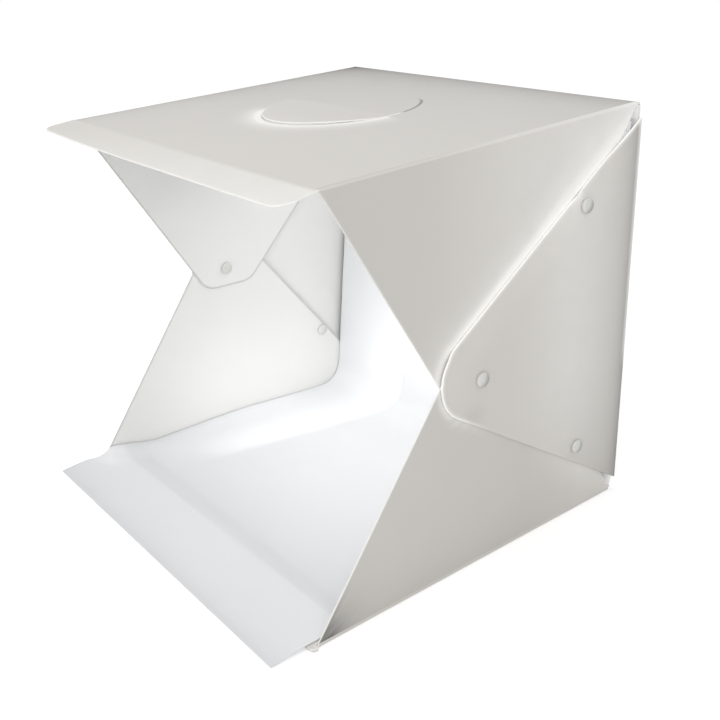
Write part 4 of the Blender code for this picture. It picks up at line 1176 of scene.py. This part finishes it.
def fastener_pads(side):
    """Hook and loop patches with rounded corners, pressed together, on the back panel and the backdrop."""
    made = []
    round_way = circle(64)
    square = np.sign(round_way) * np.abs(round_way) ** PAD_BLUNT
    share = np.linspace(0.001, 1, 14)[:, None, None]
    for kind, grow in (("hook", 0.00014), ("loop", 0.00012)):
        low, high = box_of(f"{side}_{kind}_pad")
        middle = (low + high) / 2
        flat = (square * (high[0] - low[0], PAD_HEIGHT) / 2)[None] * share
        fuzz = np.sin(flat[..., 0] * 5200 + 3 * np.sin(flat[..., 1] * 2100)) * (share[..., 0] < 0.98)
        fuzz = PAD_FUZZ * fuzz[..., None]
        grid = middle + ACROSS * flat[..., :1] + UP_BACK * flat[..., 1:] + BACK_OUTWARD * fuzz
        thick = PAD_THICKNESS + 2 * grow
        piece = slab(f"{side}_{kind}_patch", grid, -BACK_OUTWARD, thick, PAD_RIM, ring=True)
        made.append(dress(piece, f"{side}_{kind}_pad", "shell"))
    return made


class Wire:
    """A node's output that can be used in sums: each operation adds its Math node."""

    def __init__(self, paint, socket):
        self.paint, self.socket = paint, socket

    def __add__(self, other):
        return self.paint.math("ADD", self, other)

    def __sub__(self, other):
        return self.paint.math("SUBTRACT", self, other)

    def __rsub__(self, other):
        return self.paint.math("SUBTRACT", other, self)

    def __radd__(self, other):
        return self.paint.math("ADD", other, self)

    def __mul__(self, other):
        return self.paint.math("MULTIPLY", self, other)

    def __truediv__(self, other):
        return self.paint.math("DIVIDE", self, other)

    def __pow__(self, other):
        return self.paint.math("POWER", self, other)

    def step(self, level, soft, first, last):
        """One value up to a level, and eased to another a soft step above it."""
        return self.paint.node("ShaderNodeMapRange", {"interpolation_type": "SMOOTHSTEP"},
                               {"Value": self, "From Min": level, "From Max": level + soft,
                                "To Min": first, "To Max": last})

    def below(self, level, soft):
        """1 under a level, down to 0 a soft step above it."""
        return self.step(level, soft, 1.0, 0.0)

    def above(self, level, soft):
        """0 under a level, up to 1 a soft step above it."""
        return self.step(level, soft, 0.0, 1.0)


class Paint:
    """A material or a world made of nodes."""

    def __init__(self, name, world=None):
        self.material = world or bpy.data.materials.new(name)
        self.material.use_nodes = True
        self.tree = self.material.node_tree
        self.tree.nodes.clear()

    def node(self, kind, settings, sockets, output=0):
        """A node of a kind, with its settings first and then the values or wires of its sockets."""
        made = self.tree.nodes.new(kind)
        for key, value in settings.items():
            setattr(made, key, value)
        for key, value in sockets.items():
            if isinstance(value, Wire):
                self.tree.links.new(value.socket, made.inputs[key])
            else:
                made.inputs[key].default_value = value
        return Wire(self, made.outputs[output]) if made.outputs else None

    def math(self, operation, *values):
        return self.node("ShaderNodeMath", {"operation": operation}, dict(enumerate(values)))

    def place(self):
        return self.node("ShaderNodeTexCoord", {}, {}, "Object")

    def value(self, name):
        """A named value on the piece's vertices."""
        return self.node("ShaderNodeAttribute", {"attribute_name": name}, {}, "Fac")

    def noise(self, place, scale, detail=3.0, rough=0.5, warp=0.0):
        """Noise from 0 to 1 about a half."""
        return self.node("ShaderNodeTexNoise", {}, {"Vector": place, "Scale": scale, "Detail": detail,
                                                    "Roughness": rough, "Distortion": warp}, "Fac")

    def mix(self, share, first, second, blend="MIX"):
        """Two colours mixed."""
        return self.node("ShaderNodeMix", {"data_type": "RGBA", "blend_type": blend},
                         {0: share, 6: first, 7: second}, 2)

    def grey(self, level):
        return self.node("ShaderNodeCombineColor", {}, {0: level, 1: level, 2: level})

    def toned(self, colour, level):
        """A colour multiplied by a level."""
        return self.mix(1.0, colour, self.grey(level), "MULTIPLY")

    def part(self, vector, axis):
        """One of a vector's numbers."""
        return self.node("ShaderNodeSeparateXYZ", {}, {"Vector": vector}, axis)

    def seen_direct(self):
        """1 for what the camera sees by itself, in a reflection or through something clear."""
        camera_ray, glossy, through = (self.node("ShaderNodeLightPath", {}, {}, f"Is {kind} Ray")
                                       for kind in ("Camera", "Glossy", "Transmission"))
        return self.math("MINIMUM", camera_ray + glossy + through, 1.0)

    def bump(self, height, strength, distance, under=None):
        sockets = {"Height": height, "Strength": strength, "Distance": distance}
        if under:
            sockets["Normal"] = under
        return self.node("ShaderNodeBump", {}, sockets)

    def finish(self, shader):
        self.node("ShaderNodeOutputMaterial", {}, {"Surface": shader})
        return self.material

    def surface(self, colour, roughness, normal=None, **fixed):
        """The Principled shader, with what is the same all over set on its own sockets."""
        sockets = {"Base Color": colour, "Roughness": roughness}
        if normal:
            sockets["Normal"] = normal
        sockets.update({key.replace("_", " "): value for key, value in fixed.items()})
        return self.node("ShaderNodeBsdfPrincipled", {}, sockets)


def scored(p, place):
    """The port's oval run on behind its hinge line, on the right, as a pressed line. A place's distance from
    the oval is its radius over the oval's, less one, times the oval's mean half width. Gives the dark part of
    the line, a painted shadow in its groove, and the pale part, a painted highlight."""
    across = p.part(place, "X") - PORT_MIDDLE
    back = p.part(place, "Y") - float(PORT_HINGE[1])
    wide, long = across / PORT_HALF_WIDTH, back / PORT_LENGTH
    radius = (wide * wide + long * long) ** 0.5
    off = (radius - 1.0) * ((PORT_HALF_WIDTH + PORT_LENGTH) / 2)
    line = p.math("ABSOLUTE", off).below(0.0003, 0.0011) * across.above(0.0, 0.004)
    dark = line * back.above(0.009, 0.004) * back.below(0.037, 0.006)
    return dark, line * back.above(-0.002, 0.002) * back.below(0.007, 0.003)


def sheet_paint(name, port=False):
    """Translucent plastic sheet: warm grey white outside, cool white inside, the inside's paler, cooler white
    being painted light; paler on cut edges and creases, partly whitening and partly painted highlight; and
    painted light, painted shade, painted glow and painted glints where a piece's values say so; with slow
    mottling, faint rolling lines and a fine sandy grain."""
    p = Paint(name)
    place = p.place()
    out = p.value("outside").above(0.55, 0.4)
    cut = p.value("cut")
    crease = p.value("crease")
    slow = p.noise(place, 14.0, 3.0)
    blotch = p.noise(place, 62.0, 4.0, 0.6)
    grain = p.noise(place, 2600.0, 2.0)
    scuff = p.noise(p.node("ShaderNodeMapping", {"vector_type": "TEXTURE"},
                           {"Vector": place, "Scale": (1.0, 1.0, 9.0)}), 420.0, 3.0, 0.6)
    # Painted light: the inside face takes the paler, cooler white
    colour = p.mix(out, linear(INSIDE_WHITE), linear(OUTSIDE_WHITE))
    colour = p.toned(colour, 0.962 + slow * 0.040 + blotch * 0.026 + grain * 0.010)
    inner = p.value("outside").below(0.05, 0.15)
    # Paler cut edges and creases, partly whitening and partly painted highlight; a piece's quiet value takes
    # the edges' paleness away
    edge = cut.below(0.0001, 0.0008) * (1.0 - inner) * (0.95 - out * 0.40) * (1.0 - p.value("quiet"))
    bend = crease.below(0.0001, 0.0006) * (0.06 + blotch * 0.34)
    # Painted light: a piece's pale value on the outside face
    soft = p.value("pale") * (0.72 + blotch * 0.56) * out
    # The port's pressed line: a painted highlight on its pale part, and a painted shadow in its groove
    if port:
        groove, ridge = scored(p, place)
        soft = 1.0 - (1.0 - soft) * (1.0 - ridge * out * 0.8)
    pale = 1.0 - (1.0 - edge) * (1.0 - bend) * (1.0 - soft)
    # Painted shade: a piece's shade value on the outside face, and a painted shadow along the inside face's
    # cut edges
    dark = 1.0 - p.value("shade") * (0.14 + blotch * 0.06) * out - cut.below(0.0002, 0.0014) * inner * 0.30
    colour = p.mix(pale, p.toned(colour, dark), linear(EDGE_WHITE))
    if port:
        colour = p.mix(groove * out * 0.72, colour, linear(GROOVE_SHADE_GREY))
    roughness = 0.40 + blotch * 0.10 + grain * 0.04 - scuff.below(0.36, 0.05) * 0.05 + bend * 0.08
    normal = p.bump(grain, 0.10, 0.00006)
    normal = p.bump(blotch * 0.6 + scuff * 0.4, 0.16, 0.00030, normal)
    normal = p.bump(slow, 0.22, 0.0022, normal)
    if port:
        normal = p.bump(1.0 - groove * out, 0.5, 0.0003, normal)
    # Painted light as emission: a glint on cut edges, a glow on the inside face from lit and on the outside
    # face from glow
    glint = p.value("glint") * (1.0 - inner) * cut.below(0.0, 0.0008)
    lit = p.value("lit") * (1.0 - out) + p.value("glow") * out + glint
    return p.finish(p.surface(colour, roughness, normal, Specular_IOR_Level=0.42, IOR=1.49,
                              Emission_Color=p.grey(lit), Emission_Strength=1.0))


def backdrop_paint():
    """Smooth matt white backdrop with a fine calendered grain, and painted shade from its shade value that
    makes the front edge slightly greyer.
    """
    p = Paint("backdrop_white")
    place = p.place()
    slow = p.noise(place, 9.0, 2.0)
    fine = p.noise(place, 1500.0, 2.0)
    mid = p.noise(place, 130.0, 3.0)
    colour = p.toned(linear(BACKDROP_WHITE), 0.972 + slow * 0.030 + mid * 0.012 + fine * 0.010)
    # Painted shade from the backdrop's shade value
    colour = p.toned(colour, 1.0 - p.value("shade") * (0.15 + mid * 0.02))
    colour = p.mix(p.value("cut").below(0.0, 0.0009) * 0.35, colour, linear(BACKDROP_EDGE))
    normal = p.bump(fine, 0.10, 0.00005)
    normal = p.bump(mid, 0.10, 0.0002, normal)
    return p.finish(p.surface(colour, 0.50 + mid * 0.12, normal, Specular_IOR_Level=0.35))


def snap_paint():
    """Moulded plastic of the press studs: soft gloss, a little flow mottling, paler rims, and a painted
    darker side away from the light."""
    p = Paint("snap_white")
    place = p.place()
    flow = p.noise(place, 260.0, 3.0, 0.5, 0.6)
    fine = p.noise(place, 4200.0, 2.0)
    tone = 0.955 + flow * 0.060 + fine * 0.012
    colour = p.mix(1.0, linear(SNAP_WHITE),
                   p.node("ShaderNodeCombineColor", {}, {0: tone, 1: tone, 2: tone * 0.995}), "MULTIPLY")
    rim = p.value("radius").above(CAP_RADIUS - 0.0007, 0.0006)
    colour = p.mix(rim * 0.35, colour, linear(SNAP_RIM))
    # Painted shade on the side away from the light
    colour = p.mix(p.value("lee").above(0.0, 1.15) * 0.8, colour, linear(SNAP_LEE))
    turning = p.math("SINE", p.value("radius") * 2600.0)
    normal = p.bump(turning * 0.5 + 0.5, 0.10, 0.00002)
    normal = p.bump(flow, 0.10, 0.00010, normal)
    return p.finish(p.surface(colour, 0.24 + flow * 0.16 + fine * 0.05, normal, Coat_Weight=0.15,
                              Coat_Roughness=0.12, Specular_IOR_Level=0.5))


def patch_paint(name, colour, scale, lay):
    """Woven fastener tape: a fine weave under hooks or loops."""
    p = Paint(name)
    place = p.place()
    weave = p.node("ShaderNodeTexVoronoi", {"feature": "F1"}, {"Vector": place, "Scale": scale}, "Distance")
    fuzz = p.noise(place, scale * 0.7, 4.0, 0.7, lay)
    tint = p.mix(weave * 0.55, linear(colour), linear([c * 0.80 for c in colour]))
    tint = p.mix(fuzz.below(0.40, 0.2) * 0.35, tint, linear([c * 0.9 for c in colour]))
    normal = p.bump(weave, 0.65, 0.00025)
    normal = p.bump(fuzz, 0.45, 0.00030, normal)
    return p.finish(p.surface(tint, 0.86 + fuzz * 0.10, normal, Sheen_Weight=0.2))


def foam_paint():
    """Closed-cell foam tape with a cut face of small cells."""
    p = Paint("foam_white")
    place = p.place()
    cells = p.node("ShaderNodeTexVoronoi", {"feature": "F1"}, {"Vector": place, "Scale": 2400.0}, "Distance")
    slow = p.noise(place, 90.0, 3.0)
    tint = p.mix(cells * 0.5, linear((0.87, 0.87, 0.855)), linear((0.76, 0.76, 0.745)))
    tint = p.mix(slow * 0.25, tint, linear((0.90, 0.89, 0.86)))
    return p.finish(p.surface(tint, 0.78 + slow * 0.14, p.bump(cells, 0.5, 0.0001)))


def board_paint():
    """White solder mask with faint tracks, lamp housings with warm windows, tinned ends, dark resistors."""
    p = Paint("strip_white")
    place = p.place()
    kind = p.value("kind")
    slow = p.noise(place, 120.0, 3.0)
    fine = p.noise(place, 3000.0, 2.0)
    track = p.node("ShaderNodeTexWave", {"wave_type": "BANDS", "bands_direction": "Y"},
                   {"Vector": place, "Scale": 95.0, "Distortion": 0.4}, "Fac").above(0.72, 0.1)
    mask = p.mix(track * 0.5, linear((0.90, 0.905, 0.89)), linear((0.83, 0.84, 0.82)))
    mask = p.mix(slow * 0.2, mask, linear((0.86, 0.86, 0.84)))

    def only(number):
        return kind.above(number - 0.5, 0.02) * kind.below(number + 0.5, 0.02)

    colour = p.mix(only(HOUSING), mask, linear((0.93, 0.93, 0.91)))
    colour = p.mix(only(WINDOW), colour, linear((0.96, 0.90, 0.62)))
    tinned = only(TINNED)
    colour = p.mix(tinned, colour, linear((0.72, 0.72, 0.70)))
    colour = p.mix(only(RESISTOR), colour, linear((0.07, 0.07, 0.075)))
    rough = 0.42 + slow * 0.14 - tinned * 0.18 + fine * 0.05
    normal = p.bump(track, 0.25, 0.00004)
    normal = p.bump(fine, 0.15, 0.00003, normal)
    lit = p.mix(only(WINDOW), (0.0, 0.0, 0.0, 1.0), linear((1.0, 0.98, 0.90)))
    return p.finish(p.surface(colour, rough, normal, Metallic=tinned * 0.85, Emission_Color=lit,
                              Emission_Strength=0.35))


def inlet_paint():
    """Rolled steel shell with fine draw lines and a few darker touches."""
    p = Paint("inlet_steel")
    place = p.place()
    along = p.node("ShaderNodeMapping", {}, {"Vector": place, "Scale": (0.12, 1.0, 1.0)})
    drawn = p.noise(along, 5200.0, 3.0)
    slow = p.noise(place, 500.0, 3.0)
    colour = p.mix(slow, linear((0.80, 0.80, 0.79)), linear((0.66, 0.66, 0.665)))
    return p.finish(p.surface(colour, 0.20 + drawn * 0.20 + slow * 0.08, p.bump(drawn, 0.2, 0.00002),
                              Metallic=1.0))


def tongue_paint():
    """Black moulded plastic with a fine spark grain."""
    p = Paint("inlet_black_plastic")
    place = p.place()
    fine = p.noise(place, 3600.0, 3.0)
    slow = p.noise(place, 700.0, 2.0)
    colour = p.mix(slow, linear((0.10, 0.10, 0.105)), linear((0.15, 0.15, 0.155)))
    return p.finish(p.surface(colour, 0.46 + fine * 0.18, p.bump(fine, 0.4, 0.00004)))


def floor_and_world():
    """A wide pale floor that stays white to the camera and to reflections, with the object's shadow on it,
    and a world that is white to the camera and dimmer to the object."""
    mesh = bpy.data.meshes.new("studio_floor")
    signs = ((-1, -1), (1, -1), (1, 1), (-1, 1))
    mesh.from_pydata([(a * FLOOR_HALF, b * FLOOR_HALF, 0.0) for a, b in signs], [], [(0, 1, 2, 3)])
    floor = bpy.data.objects.new("studio_floor", mesh)
    floor.location.z = -FLOOR_DROP
    bpy.context.scene.collection.objects.link(floor)
    p = Paint("studio_floor")
    seen = p.seen_direct()
    colour = p.mix(seen, FLOOR_BOUNCE, WHITE_LIGHT)
    lift = p.node("ShaderNodeEmission", {}, {"Color": WHITE_LIGHT, "Strength": seen * FLOOR_LIFT})
    lit = p.node("ShaderNodeBsdfDiffuse", {}, {"Color": colour})
    mesh.materials.append(p.finish(p.node("ShaderNodeAddShader", {}, {0: lit, 1: lift})))
    world = bpy.data.worlds.new("studio")
    bpy.context.scene.world = world
    w = Paint("studio", world)
    strength = WORLD_STRENGTH + w.seen_direct() * (1.0 - WORLD_STRENGTH)
    shade = w.node("ShaderNodeBackground", {}, {"Color": WHITE_LIGHT, "Strength": strength})
    w.node("ShaderNodeOutputWorld", {}, {"Surface": shade})


def lamp(name, place, target, wide, high, watts, colour=(1.0, 1.0, 1.0), body=None, spread=180):
    """A soft rectangular lamp that the camera doesn't see, aimed at a target. A body's lamp moves with it."""
    data = bpy.data.lights.new(name, "AREA")
    data.shape = "RECTANGLE"
    data.size, data.size_y = wide, high
    data.energy, data.color = watts, colour
    data.spread = np.radians(spread)
    made = bpy.data.objects.new(name, data)
    ahead = Vector(np.array(target) - np.array(place))
    made.matrix_world = Matrix.Translation(place) @ ahead.to_track_quat("-Z", "Y").to_matrix().to_4x4()
    made.visible_camera = False
    bpy.context.scene.collection.objects.link(made)
    if body:
        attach(made, body)


def camera():
    """The photograph's angle: place, direction and roll, with no shift."""
    data = bpy.data.cameras.new("camera")
    data.sensor_width = SENSOR_MM
    data.lens = CAMERA_FOCAL_PIXELS / PICTURE_SIDE * SENSOR_MM
    data.clip_start, data.clip_end = CAMERA_SEES
    ahead = CAMERA_AHEAD.normalized()
    right = ahead.cross(Vector((0, 0, 1))).normalized()
    up = right.cross(ahead)
    rolled = right * np.cos(CAMERA_ROLL) + up * np.sin(CAMERA_ROLL)
    lifted = up * np.cos(CAMERA_ROLL) - right * np.sin(CAMERA_ROLL)
    made = bpy.data.objects.new("camera", data)
    made.matrix_world = Matrix([(rolled[k], lifted[k], -ahead[k], CAMERA_PLACE[k]) for k in range(3)]
                               + [(0, 0, 0, 1)])
    bpy.context.scene.collection.objects.link(made)
    bpy.context.scene.camera = made


camera()
floor_and_world()
lamp("key", (-0.30, -0.80, 0.95), (0, 0, 0.12), 0.6, 0.6, KEY_WATTS)
lamp("fill", (0.85, -0.60, 0.50), (0, 0, 0.12), 0.6, 0.6, FILL_WATTS)
lamp("strip_glow", (0, 0.050, 0.212), (0, 0.050, 0), 0.19, 0.05, STRIP_WATTS, STRIP_GLOW, "top")
lamp("wall_glow", (0.03, 0.020, 0.205), (0.02, 0.100, 0.060), 0.16, 0.05, WALL_WATTS, STRIP_GLOW, "top")
lamp("rear_bounce", (0.02, 0.020, 0.060), (0.02, 0.095, 0.062), 0.17, 0.05, REAR_BOUNCE_WATTS, STRIP_GLOW,
     "shell", REAR_BOUNCE_SPREAD)
lamp("left_bounce", (-0.055, 0.025, 0.024), (-0.118, 0.035, 0.034), 0.15, 0.03, LEFT_BOUNCE_WATTS,
     STRIP_GLOW, "shell")

painted([top_panel()], sheet_paint("top_sheet_white", port=True))
sheets = [port_cover(), top_lip(), rear_crease(), back_panel(), base_sheet(), base_lip()]
studs = []
for side, sign in SIDES.items():
    sheets += [top_flap(side, sign), back_flap(side, sign), *bottom_flap(side, sign)]
    studs += press_studs(side, sign)
painted(sheets, sheet_paint("tent_sheet"))
painted(studs, snap_paint())

PAD_PAINTS = (patch_paint("hook_weave", HOOK_WHITE, 1900.0, 0.3),
              patch_paint("loop_weave", LOOP_WHITE, 1300.0, 1.2))
for side in SIDES:
    for piece, paint in zip(fastener_pads(side), PAD_PAINTS):
        painted([piece], paint)
painted([backdrop()], backdrop_paint())

STRIP_PAINTS = (foam_paint(), board_paint())
INLET_PAINTS = {"inlet_shell": inlet_paint(), "inlet_tongue": tongue_paint()}
for end in ("front", "rear"):
    for piece, paint in zip(light_strip(end), STRIP_PAINTS):
        painted([piece], paint)
    for part, paint in INLET_PAINTS.items():
        for slot in NODES[f"{end}_{part}"].material_slots:
            slot.material = paint

bpy.context.scene.view_settings.view_transform = "Standard"

bpy.context.view_layer.update()
